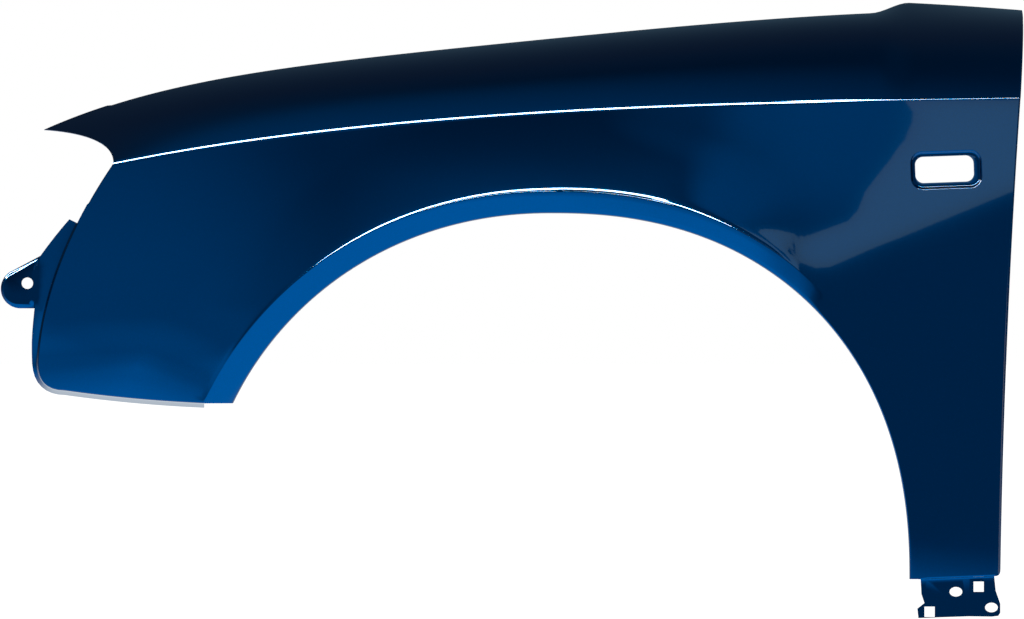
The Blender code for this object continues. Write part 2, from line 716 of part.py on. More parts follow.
def paint():
    material = bpy.data.materials.new("blue_paint")
    material.use_nodes = True
    shader = material.node_tree.nodes["Principled BSDF"]
    shader.inputs["Base Color"].default_value = PAINT_COLOUR
    shader.inputs["Roughness"].default_value = PAINT_ROUGHNESS
    shader.inputs["Metallic"].default_value = PAINT_METALLIC
    return material


def finish_sheet(panel, cutter):
    """Rounds the folds, gives the sheet its thickness and cuts the holes."""
    bevel = panel.modifiers.new("folds", "BEVEL")
    bevel.limit_method = "WEIGHT"
    bevel.width = CREASE_RADIUS
    bevel.segments = FOLD_STEPS
    solidify = panel.modifiers.new("sheet", "SOLIDIFY")
    solidify.thickness = SHEET_THICKNESS
    solidify.offset = -1
    solidify.use_even_offset = True
    holes = panel.modifiers.new("holes", "BOOLEAN")
    holes.operation = "DIFFERENCE"
    holes.solver = "EXACT"
    holes.object = cutter
    cutter.hide_render = True
    cutter.display_type = "WIRE"


def main():
    for thing in list(bpy.data.objects):
        bpy.data.objects.remove(thing, do_unlink=True)
    mesh = bmesh.new()
    mesh.edges.layers.float.new("bevel_weight_edge")
    side, shoulder, side_faces = build_skin(mesh)
    build_band(mesh, side)
    wall, flange = build_gutter(mesh, shoulder)
    build_lamp_flange(mesh, side, shoulder)
    pillar = build_door_flange(mesh, side, shoulder)
    ear_centre = build_ear(mesh, build_front_flange(mesh, side))
    tab_place = build_rear_tab(mesh, side)
    build_window(mesh, side_faces)
    panel = new_object("fender_panel", mesh)
    cutter = build_cutter(wall, flange, pillar, ear_centre, tab_place)
    finish_sheet(panel, cutter)
    panel.data.materials.append(paint())
    panel.data.shade_smooth()
    panel.data.set_sharp_from_angle(angle=SMOOTH_ANGLE)
    seat = rail_seat(wall, flange)
    panel.location = -seat
    cutter.location = -seat


main()
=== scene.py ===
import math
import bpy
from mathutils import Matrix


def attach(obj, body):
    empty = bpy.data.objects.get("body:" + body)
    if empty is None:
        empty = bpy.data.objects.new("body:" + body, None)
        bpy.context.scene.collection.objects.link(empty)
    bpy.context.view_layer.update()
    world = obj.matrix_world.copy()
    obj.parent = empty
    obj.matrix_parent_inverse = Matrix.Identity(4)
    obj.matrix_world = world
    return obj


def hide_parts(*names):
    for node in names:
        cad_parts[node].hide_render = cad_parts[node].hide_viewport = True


bl_info = {
    "name": "Car Fender Maker",
    "version": (1, 0, 0),
    "blender": (4, 5, 0),
    "location": "View3D > Sidebar > Fender",
    "description": "Makes a left front fender panel with its folds, holes, lacquered paint and a plain stage",
    "category": "Add Mesh",
}

import bmesh
import bpy
from bpy.props import FloatProperty, FloatVectorProperty, PointerProperty
from bpy.types import Operator, Panel, PropertyGroup
from mathutils import Matrix, Vector

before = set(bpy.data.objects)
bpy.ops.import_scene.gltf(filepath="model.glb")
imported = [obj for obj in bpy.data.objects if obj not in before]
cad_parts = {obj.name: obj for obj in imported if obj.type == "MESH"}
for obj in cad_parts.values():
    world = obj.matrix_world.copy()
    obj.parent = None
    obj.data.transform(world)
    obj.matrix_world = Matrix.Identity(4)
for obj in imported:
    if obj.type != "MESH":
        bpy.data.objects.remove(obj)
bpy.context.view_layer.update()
PANEL_NODE = "fender_panel"

# The panel is laid out from the wheel's centre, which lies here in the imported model.
WHEEL_CENTRE = Vector((-0.120694, -0.142505, -0.500072))

# Wheel arch opening
ARCH_FRONT_REACH = 0.3568
ARCH_REAR_REACH = 0.3587
ARCH_HEIGHT = 0.3565
ARCH_FRONT_FULLNESS = 2.083
ARCH_REAR_FULLNESS = 2.265
FRONT_FOOT_HEIGHT = 0.1656
REAR_FOOT_DROP = 0.0097
ARCH_LIP_DEPTH = 0.018

# Band turned in round the arch, and the flare above it
BAND_FRONT_WIDTH = 0.027
BAND_TOP_WIDTH = 0.0215
BAND_REAR_WIDTH = 0.011
BAND_TURN_IN = 0.011
BAND_GONE_ANGLE = math.radians(36)
BAND_FULL_ANGLE = math.radians(60)
FLARE_HEIGHT = 0.0068
FLARE_WIDTH = 0.075
FLARE_GONE_ANGLE = math.radians(53)
FLARE_FULL_ANGLE = math.radians(76)
FLARE_TIP_GONE_ANGLE = math.radians(50)
FLARE_TIP_FULL_ANGLE = math.radians(57)
FLARE_TIP_HEIGHT = 0.0008
FLARE_TIP_POWER = 40

# Lengths ahead of and behind the arch
FRONT_LENGTH = 0.1617
CREASE_FRONT_LENGTH = 0.0848
NOSE_LENGTH = 0.0719
REAR_LENGTH = 0.0908
DOOR_LINE_RAKE = 0.0199
DOOR_LINE_BOW_SHARE = 0.84
HOOD_CORNER_RAKE = 0.0061
FRONT_CORNER_RADIUS = 0.028
FRONT_CORNER_RISE = 0.0125
FRONT_EDGE_BOW = 0.0075
BOTTOM_EDGE_SAG = 0.0035
REAR_CORNER_RADIUS = 0.006
REAR_CORNER_RISE = 0.003

# Heights of the shoulder crease and the hood line
CREASE_ABOVE_ARCH = 0.1151
CREASE_RISE = 0.064
CREASE_RISE_SHARES = (0.0, 0.872, 0.931, 1.0)
CREASE_TIGHTENS_SHARE = 0.8
CREASE_TIGHT_SHARE = 0.85
CREASE_REAR_TIGHTNESS = 0.12
SHOULDER_HEIGHT = 0.0909
HOOD_RISE = 0.1201
HOOD_RISE_SHARES = (0.0, 0.73, 0.52, 0.9, 1.0, 1.0)

# Depths, inboard from the outer face
PLAN_WRAP = 0.12
PLAN_WRAP_START = 0.35
PLAN_WRAP_POWER = 2.3
HOOD_INSET = 0.215
HOOD_INSET_SHARES = (1.0, 0.72, 0.52, 0.56, 0.62)
KNEE_FRONT_SHARES = (0.3, 0.83)
KNEE_REAR_SHARES = (0.3, 0.92)
SIDE_LEAN_SLOPE = 0.06
CROWN_FRONT_DEPTH = 0.12
CROWN_REAR_DEPTH = 0.2
TUCK_DEPTH = 0.014
TUCK_HEIGHT = 0.1
TUCK_POWER = 2

# Raised rear corner beside the hood
HORN_HEIGHT = 0.0098
HORN_INSET = 0.02
HORN_LENGTH = 0.153
HORN_RISE_LENGTH = 0.038
HORN_POWER = 4

# Hood gutter and rail flange
GUTTER_LEAN = 0.004
GUTTER_FRONT_DEPTH = 0.014
GUTTER_REAR_DEPTH = 0.032
RAIL_WIDTH = 0.026
RAIL_HOLE_SHARES = (0.05, 0.27, 0.5, 0.73, 0.95)

# Flanges along the other edges
LAMP_FLANGE_WIDTH = 0.012
LAMP_FLANGE_RAKE = 0.006
BOTTOM_FLANGE_WIDTH = 0.016
BOTTOM_FLANGE_DROP = 0.0045
DOOR_FLANGE_WIDTH = 0.013
PILLAR_TAB_WIDTH = 0.028

# Front strip and its ear
STRIP_SET_BACK = 0.004
STRIP_WIDTH = 0.015
STRIP_WIDTH_SHARES = (0.6, 1.0, 1.4, 1.05, 0.8, 0.65, 0.52, 0.36, 0.32, 0.3)
EAR_RADIUS = 0.0199
EAR_REACH = 0.0168
EAR_START_ANGLE = math.radians(112)
EAR_END_ANGLE = math.radians(268)
EAR_FOOT_SHARE = 0.78
EAR_RIM_SHARE = 0.25
EAR_EMBOSS = 0.002
EAR_HOLE_BACK = 0.007
EAR_HOLE_RISE = 0.0055

# Rear lower tab
TAB_SET_BACK = 0.0055
TAB_DROP = 0.039
TAB_TURN_IN = 0.003
TAB_TOP_SHARES = (0.0, 0.322, 0.657, 1.0)
TAB_FRONT_SHARES = ((0.011, 0.385), (0.052, 0.615), (-0.044, 0.757), (-0.03, 1.0))
TAB_FOLD_SHARES = (0.657, 0.955)
TAB_REAR_SHARES = ((0.966, 0.965), (1.055, 0.945), (1.082, 0.865), (1.082, 0.634), (1.02, 0.3))
TAB_OVAL_LENGTH = 0.0128
TAB_OVAL_HEIGHT = 0.0096
TAB_OVAL_SHARES = ((0.479, 0.325), (0.962, 0.73))
TAB_SQUARE_SIDE = 0.0103
TAB_SQUARE_SHARES = ((0.788, 0.195), (0.122, 0.838))

# Side repeater window and the recess round it
WINDOW_LENGTH = 0.0585
WINDOW_HEIGHT = 0.0262
WINDOW_RADIUS = 0.008
WINDOW_TILT = math.radians(2)
WINDOW_AHEAD_OF_DOOR = 0.0761
WINDOW_BELOW_CREASE = 0.0712
RECESS_FRONT_RIM = 0.005
RECESS_REAR_RIM = 0.0083
RECESS_UPPER_RIM = 0.0055
RECESS_LOWER_RIM = 0.0068
RECESS_RADIUS = 0.012
RECESS_DEPTH = 0.0025
RECESS_WALL = 0.003
RECESS_MARGIN = 0.004

# Columns and rows of the fine mesh
FRONT_COLUMNS = 20
ARCH_COLUMNS = 136
REAR_STEPS = 4
SIDE_ROWS = 24
CORNER_ROWS = 4
SHOULDER_ROWS = 21
BAND_ROWS = 4
RECESS_RINGS = 8
EAR_RINGS = 6
EAR_STEPS = 36
GUTTER_FIRST_COLUMN = 16
LAMP_FIRST_ROW = 9
LAMP_LAST_ROW = 4
STRIP_FIRST_ROW = 6
EAR_FIRST_ROW = 10
EAR_LAST_ROW = 14
DOOR_FREE_ROWS = 6
PILLAR_FIRST_ROW = 2
PILLAR_LAST_ROW = 4
WINDOW_CORNER_STEPS = 10
HOLE_SIDES = 48
ARCH_FRONT_SHARE = 0.085
ARCH_REAR_SHARE = 0.965
EVEN_SPACING_SHARE = 0.5
ROW_CROWDING = 1.2
ARCH_ROW_CROWDING = 1.45
ARCH_CROWDING_ONSET = 8
EDGE_PULL_POWER = 14
FOLD_STEPS = 4
CUT_OVERRUN = 0.006
SQUARE_CORNERS = ((-1, -1), (1, -1), (1, 1), (-1, 1))

# Smoothing. The side's own corners get the exact normals of its surface.
SMOOTH_ANGLE = math.radians(40)
NORMAL_STEP = 0.0002
SURFACE_TOLERANCE = 0.00005
OUTWARD_SHARE = 0.5
SAME_DIRECTION_SHARE = 0.99

# Coats of paint: spread and clouding of the colour as shares, and width and rise of the ripples in metres
OUTER_COAT = {"spread": 0.14, "cloud": 0.04, "rise": 0.000002, "metallic": 1.0}
INNER_COAT = {
    "spread": 0.3,
    "cloud": 0.5,
    "rise": 0.00002,
    "metallic": 0.0,
    "flake": 0.0012,
    "ripple": 0.003,
    "roughness": 0.5,
    "lacquer": 0.0,
}
LACQUER_ROUGHNESS = 0.02
CLOUDS_PER_METRE = 9.0
CLOUD_DETAIL = 2.0
RIPPLE_DETAIL = 1.0
TEXTURE_MEAN = 0.5

# Floor, world and camera. The picture's middle is given from the wheel's centre.
WHITE = (1.0, 1.0, 1.0, 1.0)
FLOOR_REACH = 150.0
FLOOR_GREY = 0.8
FLOOR_LIFT = 0.4
PICTURE_CENTRE = Vector((-0.0392, 0.0, 0.2601))
SENSOR_WIDTH = 36.0
CLIP_DISTANCES = 100

# Strip lights: left and right azimuth, elevation and height. Azimuth 0 is in front and minus is to the left.
STRIPS = {
    "crease_light": (-74.0, 0.0, 40.0, 0.36),
    "arch_light": (8.0, 30.0, 39.0, 0.3),
}
STRIP_DISTANCE = 2.6
STRIP_COLOUR = (1.0, 0.72, 0.45)

# Studio tent, which only mirror reflections see
TENT_RADIUS = 3.2
TENT_FINENESS = 6
TENT_ABOVE_FLOOR = 0.03

# Brightness of the tent's front by its elevation in degrees
TENT_STOPS = (
    (-80, 1.6),
    (-54, 1.6),
    (-31, 1.5),
    (-26, 1.25),
    (-22, 0.95),
    (-19.5, 0.55),
    (-16.5, 0.28),
    (2, 0.28),
    (9, 0.21),
    (16, 0.25),
    (25, 0.3),
    (45, 0.23),
    (60, 0.16),
    (85, 0.09),
)
TENT_FRONT_TINT = (0.0, 0.64, 1.0)
TENT_BACK_COLOUR = (0.03, 0.06, 0.09)
TENT_BACK_FOOT_COLOUR = (0.9, 0.98, 1.0)

# Shares of the way back where the cloth behind takes over, and of the way up where its bright foot ends
TENT_BACK_START = (-0.1, 0.4)
TENT_BACK_FOOT = (-0.25, 0.0)

# The colour sockets of a Mix node, which has others with the same titles
BLEND_INPUTS = (6, 7)
BLEND_OUTPUT = 2

# Soft spots on the tent: azimuth, elevation, radius and gain
TENT_SPOTS = (
    (5.0, 10.5, 8.0, 0.33),
    (-4.0, 10.5, 6.0, 0.1),
    (-14.0, 10.0, 16.0, -0.075),
    (-51.5, -2.5, 24.0, 0.28),
    (-45.5, -18.5, 14.0, 0.21),
    (-64.0, -9.5, 13.0, 0.46),
    (-12.0, -34.0, 20.0, -0.6),
    (-42.0, 50.0, 40.0, 0.18),
)

# Warm reflector in front, seen in the rear of the side. Its outline is given from the wheel's centre.
REFLECTOR_DISTANCE = 2.0
REFLECTOR_COLOUR = (0.44, 0.785, 0.772)
REFLECTOR_OUTLINE = (
    (0.3994, 0.735),
    (0.4085, 0.7077),
    (0.4075, 0.6836),
    (0.3995, 0.6403),
    (0.3767, 0.5921),
    (0.3278, 0.5143),
    (0.3127, 0.4705),
    (0.291, 0.4434),
    (0.2511, 0.4265),
    (0.1832, 0.399),
    (0.17, 0.374),
    (0.17, 0.353),
    (0.1823, 0.34),
    (0.2144, 0.3271),
    (0.2486, 0.3307),
    (0.3144, 0.3643),
    (0.3902, 0.4053),
    (0.4482, 0.4579),
    (0.56, 0.5558),
    (0.56, 0.735),
)

# Places worked out from the sizes
CREASE_REAR_HEIGHT = ARCH_HEIGHT + CREASE_ABOVE_ARCH
CREASE_FRONT_HEIGHT = CREASE_REAR_HEIGHT - CREASE_RISE
HOOD_REAR_HEIGHT = CREASE_REAR_HEIGHT + SHOULDER_HEIGHT
NOSE_HEIGHT = HOOD_REAR_HEIGHT - HOOD_RISE
FRONT_END = -ARCH_FRONT_REACH - FRONT_LENGTH
CREASE_FRONT_END = -ARCH_FRONT_REACH - CREASE_FRONT_LENGTH
NOSE_END = CREASE_FRONT_END - NOSE_LENGTH
DOOR_FOOT_END = ARCH_REAR_REACH + REAR_LENGTH
CREASE_REAR_END = DOOR_FOOT_END + DOOR_LINE_RAKE
HOOD_REAR_END = CREASE_REAR_END + HOOD_CORNER_RAKE
FRONT_CORNER_HEIGHT = FRONT_FOOT_HEIGHT + FRONT_CORNER_RISE
REAR_CORNER_HEIGHT = REAR_CORNER_RISE - REAR_FOOT_DROP


# Settings that a user would change


def length_setting(name, description, default):
    """A setting in metres."""
    return FloatProperty(name=name, description=description, default=default, unit="LENGTH")


def factor_setting(name, description, default):
    """A setting from nothing to full."""
    return FloatProperty(name=name, description=description, default=default, subtype="FACTOR")


def number_setting(name, description, default):
    """A setting that is a plain number."""
    return FloatProperty(name=name, description=description, default=default)


def colour_setting(name, description, default):
    """A setting that is a colour."""
    return FloatVectorProperty(name=name, description=description, size=3, subtype="COLOR", default=default)


class FenderSizes(PropertyGroup):
    sheet_thickness: length_setting("Sheet thickness", "Thickness of the painted steel sheet", 0.0008)
    crease_radius: length_setting("Crease width", "How far each side of a crease its rounding reaches", 0.0034)
    hood_fold_radius: length_setting("Hood fold width", "Rounding of the folds beside the hood", 0.003)
    fold_radius: length_setting("Flange fold width", "Rounding of the folds at the flanges", 0.0016)
    band_fold_radius: length_setting("Arch fold width", "Rounding of the fold round the wheel arch", 0.0007)
    bolt_hole: length_setting("Bolt hole", "Diameter of the rail flange and pillar holes", 0.009)
    ear_hole: length_setting("Ear hole", "Diameter of the hole in the front ear", 0.0116)


class PaintSettings(PropertyGroup):
    colour: colour_setting("Paint colour", "Colour of the metal flake", (0.0, 0.042, 0.165))
    inside_colour: colour_setting("Inside colour", "Colour of the thinner inside coat", (0.004, 0.03, 0.1))
    flake_roughness: factor_setting("Flake roughness", "Roughness of the colour coat", 0.075)
    lacquer: factor_setting("Lacquer", "Weight of the clear gloss lacquer", 1.0)
    flake_size: length_setting("Flake size", "Width of the metal flakes", 0.0007)
    peel_size: length_setting("Lacquer ripple", "Width of the lacquer's ripples", 0.006)


class StageSettings(PropertyGroup):
    floor_drop: length_setting("Floor drop", "How far the floor lies under the wheel's centre", 0.316)
    camera_distance: length_setting("Camera distance", "Distance from the camera to the panel", 16.0)
    frame_width: length_setting("Frame width", "Width that the picture covers at the panel", 1.024)
    light_level: number_setting("Light level", "Strength of the even light", 0.9)
    strip_strength: number_setting("Strip strength", "Brightness of the strip lights", 60.0)


# Helpers


def mix(start, end, share):
    """The value that lies a share of the way from start to end."""
    return start + (end - start) * share


def curve(controls, share):
    """A point on the Bezier curve of any number of controls, which are numbers or vectors."""
    controls = list(controls)
    while len(controls) > 1:
        controls = [mix(a, b, share) for a, b in zip(controls, controls[1:])]
    return controls[0]


def ease(value, start, end):
    """Rises smoothly from 0 at start to 1 at end."""
    share = min(1, max(0, (value - start) / (end - start)))
    return share * share * (3 - 2 * share)


def along_list(values, at):
    """The value at a place along a list, counted in steps."""
    at = min(max(at, 0), len(values) - 1)
    first = min(int(at), len(values) - 2)
    return mix(values[first], values[first + 1], at - first)


def place(x, z, y=0):
    """A point by the two sizes seen from outside, and its depth."""
    return Vector((x, y, z))


# Surface of the side


def crease_height(share):
    """How high the shoulder crease runs, a share of the way along it."""
    return CREASE_FRONT_HEIGHT + CREASE_RISE * curve(CREASE_RISE_SHARES, share)


def arch_ring(x, z):
    """How far a place lies outside the arch opening, roughly square to its edge."""
    if x < 0:
        reach, power, base = ARCH_FRONT_REACH, ARCH_FRONT_FULLNESS, 0
    else:
        reach, power, base = ARCH_REAR_REACH, ARCH_REAR_FULLNESS, REAR_FOOT_DROP
    across = abs(x) / reach
    up = max(0, (z + base) / (ARCH_HEIGHT + base))
    return ((across**power + up**power) ** (1 / power) - 1) * ARCH_HEIGHT


def band_share(x, z):
    """One where the band round the arch is at its full depth, and zero where it has faded out at the rear."""
    return ease(math.atan2(z, x), BAND_GONE_ANGLE, BAND_FULL_ANGLE)


def band_width(x, z):
    """The width of the band in the direction of a place."""
    side = BAND_FRONT_WIDTH if x < 0 else BAND_REAR_WIDTH
    return mix(BAND_TOP_WIDTH, side, x * x / (x * x + z * z))


def side_depth(x, z):
    """How far inboard the side of the panel lies at a place seen from outside."""
    share = (x - CREASE_FRONT_END) / (CREASE_REAR_END - CREASE_FRONT_END)
    ahead = max(0, (PLAN_WRAP_START - x) / (PLAN_WRAP_START - CREASE_FRONT_END))
    below = crease_height(share) - z
    crown = mix(CROWN_FRONT_DEPTH, CROWN_REAR_DEPTH, share)
    lean = SIDE_LEAN_SLOPE * below * (below / (2 * crown) - 1)
    low = max(0, (FRONT_FOOT_HEIGHT + TUCK_HEIGHT - z) / TUCK_HEIGHT)
    tuck = TUCK_DEPTH * low**TUCK_POWER * ease(-x, 0, ARCH_FRONT_REACH)
    near = max(0, 1 - max(0, arch_ring(x, z) - band_width(x, z)) / FLARE_WIDTH)
    turn = math.atan2(z, x)
    flare = FLARE_HEIGHT * near * near * ease(turn, FLARE_GONE_ANGLE, FLARE_FULL_ANGLE)
    flare += FLARE_TIP_HEIGHT * near**FLARE_TIP_POWER * ease(turn, FLARE_TIP_GONE_ANGLE, FLARE_TIP_FULL_ANGLE)
    return PLAN_WRAP * ahead**PLAN_WRAP_POWER + lean + tuck - flare


def on_side(point):
    """The place on the side's surface that is seen at a point from outside."""
    return place(point.x, point.z, side_depth(point.x, point.z))


def crease_point(share):
    """A point on the shoulder crease, a share of the way along it."""
    return on_side(place(mix(CREASE_FRONT_END, CREASE_REAR_END, share), crease_height(share)))


# Surface of the shoulder, from the crease to the hood line


def horn_share(x):
    """Rises over the horn's first length and then falls evenly to the rear corner."""
    peak = HOOD_REAR_END - HORN_LENGTH + HORN_RISE_LENGTH
    if x < peak:
        return ease(x, peak - HORN_RISE_LENGTH, peak)
    return (HOOD_REAR_END - x) / (HOOD_REAR_END - peak)


def hood_point(share):
    """A point on the hood line, without the horn's rise."""
    x = mix(NOSE_END, HOOD_REAR_END, share)
    horn_start = HOOD_REAR_END - HORN_LENGTH
    inset = HOOD_INSET * curve(HOOD_INSET_SHARES, share)
    inset += HORN_INSET * ease(x, horn_start, horn_start + HORN_RISE_LENGTH)
    return place(x, NOSE_HEIGHT + HOOD_RISE * curve(HOOD_RISE_SHARES, share), inset)


def shoulder_point(share, up):
    """A point on the shoulder, a share of the way along the panel and a share of the way up to the hood line."""
    foot, head = crease_point(share), hood_point(share)
    across = mix(KNEE_FRONT_SHARES[0], KNEE_REAR_SHARES[0], share)
    rise = mix(KNEE_FRONT_SHARES[1], KNEE_REAR_SHARES[1], share)
    knee = place(foot.x + HOOD_CORNER_RAKE * share, mix(foot.z, head.z, rise), mix(foot.y, head.y, across))
    point = curve((foot, knee, head), up)
    point.z += HORN_HEIGHT * horn_share(point.x) * up**HORN_POWER
    return point


# Lines of the skin, seen from outside and walked from the front to the rear or from the top down


def arch_point(turn, front, top, rear):
    """A point on the line that stands the given widths outside the opening, at a turn from the rear foot."""
    cosine, sine = math.cos(turn), max(0, math.sin(turn))
    if cosine < 0:
        power = 2 / ARCH_FRONT_FULLNESS
        return place(-(ARCH_FRONT_REACH + front) * (-cosine) ** power, (ARCH_HEIGHT + top) * sine**power)
    power = 2 / ARCH_REAR_FULLNESS
    height = (ARCH_HEIGHT + REAR_FOOT_DROP + top) * sine**power - REAR_FOOT_DROP
    return place((ARCH_REAR_REACH + rear) * cosine**power, height)


def arch_line(front=0, top=0, rear=0):
    """The edge of the wheel arch opening, or the line that stands the given widths outside it."""
    foot_share = FRONT_FOOT_HEIGHT / (ARCH_HEIGHT + top)
    first = math.pi - math.asin(foot_share ** (ARCH_FRONT_FULLNESS / 2))
    return [arch_point(first * (1 - step / ARCH_COLUMNS), front, top, rear) for step in range(ARCH_COLUMNS + 1)]


def band_line():
    """The line where the band round the arch meets the side."""
    return arch_line(BAND_FRONT_WIDTH, BAND_TOP_WIDTH, BAND_REAR_WIDTH)


def rounded_corner(x, z, radius, inward, share):
    """A point on a round corner, from the upright edge to the bottom edge. Inward is one or minus one."""
    return curve((place(x, z + radius), place(x, z), place(x + radius * inward, z)), share)


def front_corner(share):
    """The rounded lower front corner, from the front edge to the bottom edge."""
    return rounded_corner(FRONT_END, FRONT_CORNER_HEIGHT, FRONT_CORNER_RADIUS, 1, share)


def rear_corner(share):
    """The rounded lower rear corner, from the door edge to the bottom edge."""
    return rounded_corner(DOOR_FOOT_END, REAR_CORNER_HEIGHT, REAR_CORNER_RADIUS, -1, share)


def edge_with_corner(start, knee, corner):
    """An edge from the crease to a corner, which its last rows round as far as the corner's middle."""
    rows = SIDE_ROWS - CORNER_ROWS
    knee_point = place(knee, (start.z + corner(0).z) / 2)
    line = [curve((start, knee_point, corner(0)), row / rows) for row in range(rows + 1)]
    return line + [corner(row / CORNER_ROWS / 2) for row in range(1, CORNER_ROWS + 1)]


def front_edge():
    """The front edge of the side, down to the middle of its corner."""
    return edge_with_corner(place(CREASE_FRONT_END, CREASE_FRONT_HEIGHT), FRONT_END + FRONT_EDGE_BOW, front_corner)


def door_edge():
    """The edge beside the door, down to the middle of its corner."""
    start = place(CREASE_REAR_END, CREASE_REAR_HEIGHT)
    return edge_with_corner(start, mix(start.x, DOOR_FOOT_END, DOOR_LINE_BOW_SHARE), rear_corner)


def tab_shares():
    """Where the columns behind the arch meet the rear bottom edge, as shares of it."""
    steps = (len(TAB_TOP_SHARES) - 1) * REAR_STEPS
    return [along_list(TAB_TOP_SHARES, step / REAR_STEPS) for step in range(steps + 1)]


def bottom_line():
    """The foot of every column: the bottom edge, the line of the band round the arch and the rear bottom edge."""
    band = band_line()
    knee = (front_corner(1) + band[0]) / 2 - place(0, BOTTOM_EDGE_SAG)
    front = [front_corner(mix(0.5, 1, step / REAR_STEPS)) for step in range(REAR_STEPS)]
    steps = FRONT_COLUMNS - REAR_STEPS
    front += [curve((front_corner(1), knee, band[0]), step / steps) for step in range(steps)]
    rear = [mix(band[-1], rear_corner(1), share) for share in tab_shares()[1:]]
    rear += [rear_corner(mix(1, 0.5, step / REAR_STEPS)) for step in range(1, REAR_STEPS + 1)]
    return front + band + rear


def column_shares():
    """Where each column meets the crease, as shares of its length."""
    band = band_line()
    front = [ARCH_FRONT_SHARE * step / FRONT_COLUMNS for step in range(FRONT_COLUMNS)]
    arch = []
    for step, point in enumerate(band):
        across = (point.x - band[0].x) / (band[-1].x - band[0].x)
        arch.append(mix(ARCH_FRONT_SHARE, ARCH_REAR_SHARE, mix(across, step / ARCH_COLUMNS, EVEN_SPACING_SHARE)))
    steps = len(TAB_TOP_SHARES) * REAR_STEPS
    return front + arch + [mix(ARCH_REAR_SHARE, 1, step / steps) for step in range(1, steps + 1)]


# Mesh of the skin


def add_line(mesh, points):
    """New vertices at the points."""
    return [mesh.verts.new(point) for point in points]


def bridge(mesh, edge, flange):
    """Faces from an edge to a line outside it. The edge is walked anticlockwise, as seen from outside."""
    return [mesh.faces.new(corners) for corners in zip(edge, flange, flange[1:], edge[1:])]


def side_grid(shares):
    """Rows of places on the side, from the crease down to the bottom line."""
    top = [crease_point(share) for share in shares]
    bottom, front, rear = bottom_line(), front_edge(), door_edge()
    rows = []
    for row in range(1, SIDE_ROWS + 1):
        crowded = 1 - (1 - row / SIDE_ROWS) ** ROW_CROWDING
        above_arch = 1 - (1 - row / SIDE_ROWS) ** ARCH_ROW_CROWDING
        front_pull = front[row] - mix(front[0], front[-1], crowded)
        rear_pull = rear[row] - mix(rear[0], rear[-1], crowded)
        line = []
        for share, head, foot in zip(shares, top, bottom):
            down = mix(crowded, above_arch, min(1, ARCH_CROWDING_ONSET * share * (1 - share)))
            point = mix(place(head.x, head.z), foot, down)
            point += front_pull * (1 - share) ** EDGE_PULL_POWER + rear_pull * share**EDGE_PULL_POWER
            line.append(on_side(point))
        rows.append(line)
    return rows


def mark_fold(mesh, line, weight):
    """Notes how far the sheet is rounded along a line, as a share of the crease's rounding."""
    layer = mesh.edges.layers.float["bevel_weight_edge"]
    for a, b in zip(line, line[1:]):
        mesh.edges.get((a, b))[layer] = weight


def build_skin(mesh):
    """The side and the shoulder, which share the crease. Returns their rows of vertices and the side's faces."""
    shares = column_shares()
    crease = add_line(mesh, [crease_point(share) for share in shares])
    side = [crease] + [add_line(mesh, row) for row in side_grid(shares)]
    shoulder = [crease]
    for row in range(1, SHOULDER_ROWS + 1):
        shoulder.append(add_line(mesh, [shoulder_point(share, row / SHOULDER_ROWS) for share in shares]))
    faces = []
    for upper, lower in zip(side, side[1:]):
        faces += bridge(mesh, upper, lower)
    for lower, upper in zip(shoulder, shoulder[1:]):
        bridge(mesh, upper, lower)
    for at, a, b in zip(shares, crease, crease[1:]):
        mark_fold(mesh, (a, b), mix(1, CREASE_REAR_TIGHTNESS, ease(at, CREASE_TIGHTENS_SHARE, CREASE_TIGHT_SHARE)))
    return side, shoulder, faces


# Side repeater window


def rounded_rectangle(centre, front, rear, up, down, radius):
    """A tilted rectangle with round corners, by its reach each way from the centre, walked anticlockwise."""
    points = []
    for turn, (x, z) in enumerate(((rear, up), (-front, up), (-front, -down), (rear, -down))):
        inner_x = x - math.copysign(radius, x)
        inner_z = z - math.copysign(radius, z)
        for step in range(WINDOW_CORNER_STEPS + 1):
            angle = (turn + step / WINDOW_CORNER_STEPS) * math.pi / 2
            across = inner_x + radius * math.cos(angle)
            above = inner_z + radius * math.sin(angle)
            tilted_x = across * math.cos(WINDOW_TILT) - above * math.sin(WINDOW_TILT)
            tilted_z = across * math.sin(WINDOW_TILT) + above * math.cos(WINDOW_TILT)
            points.append(centre + place(tilted_x, tilted_z))
    return points


def recess_lines():
    """Rings from the recess's outer line on the side, down its soft wall, to the window's edge."""
    centre = place(CREASE_REAR_END - WINDOW_AHEAD_OF_DOOR, CREASE_REAR_HEIGHT - WINDOW_BELOW_CREASE)
    length, height = WINDOW_LENGTH / 2, WINDOW_HEIGHT / 2
    reach = (
        length + RECESS_FRONT_RIM,
        length + RECESS_REAR_RIM,
        height + RECESS_UPPER_RIM,
        height + RECESS_LOWER_RIM,
    )
    lines = []
    for ring in range(RECESS_RINGS + 1):
        share = ring / RECESS_RINGS
        inset = RECESS_WALL * share
        line = rounded_rectangle(centre, *(size - inset for size in reach), RECESS_RADIUS - inset)
        depth = RECESS_DEPTH * ease(share, 0, 1)
        lines.append([on_side(point) + Vector((0, depth, 0)) for point in line])
    window = rounded_rectangle(centre, length, length, height, height, WINDOW_RADIUS)
    lines.append([on_side(point) + Vector((0, RECESS_DEPTH, 0)) for point in window])
    return lines


def ordered_loop(edges):
    """The vertices of a closed loop of edges, in order round it."""
    start = edges[0]
    loop = [start.verts[0], start.verts[1]]
    left = set(edges[1:])
    while left:
        step = next(edge for edge in left if loop[-1] in edge.verts)
        left.remove(step)
        loop.append(step.other_vert(loop[-1]))
    return loop[:-1]


def turn_from(middle, vertex):
    """The turn that a vertex lies at round a middle point, seen from outside."""
    return math.atan2(vertex.co.z - middle.z, vertex.co.x - middle.x)


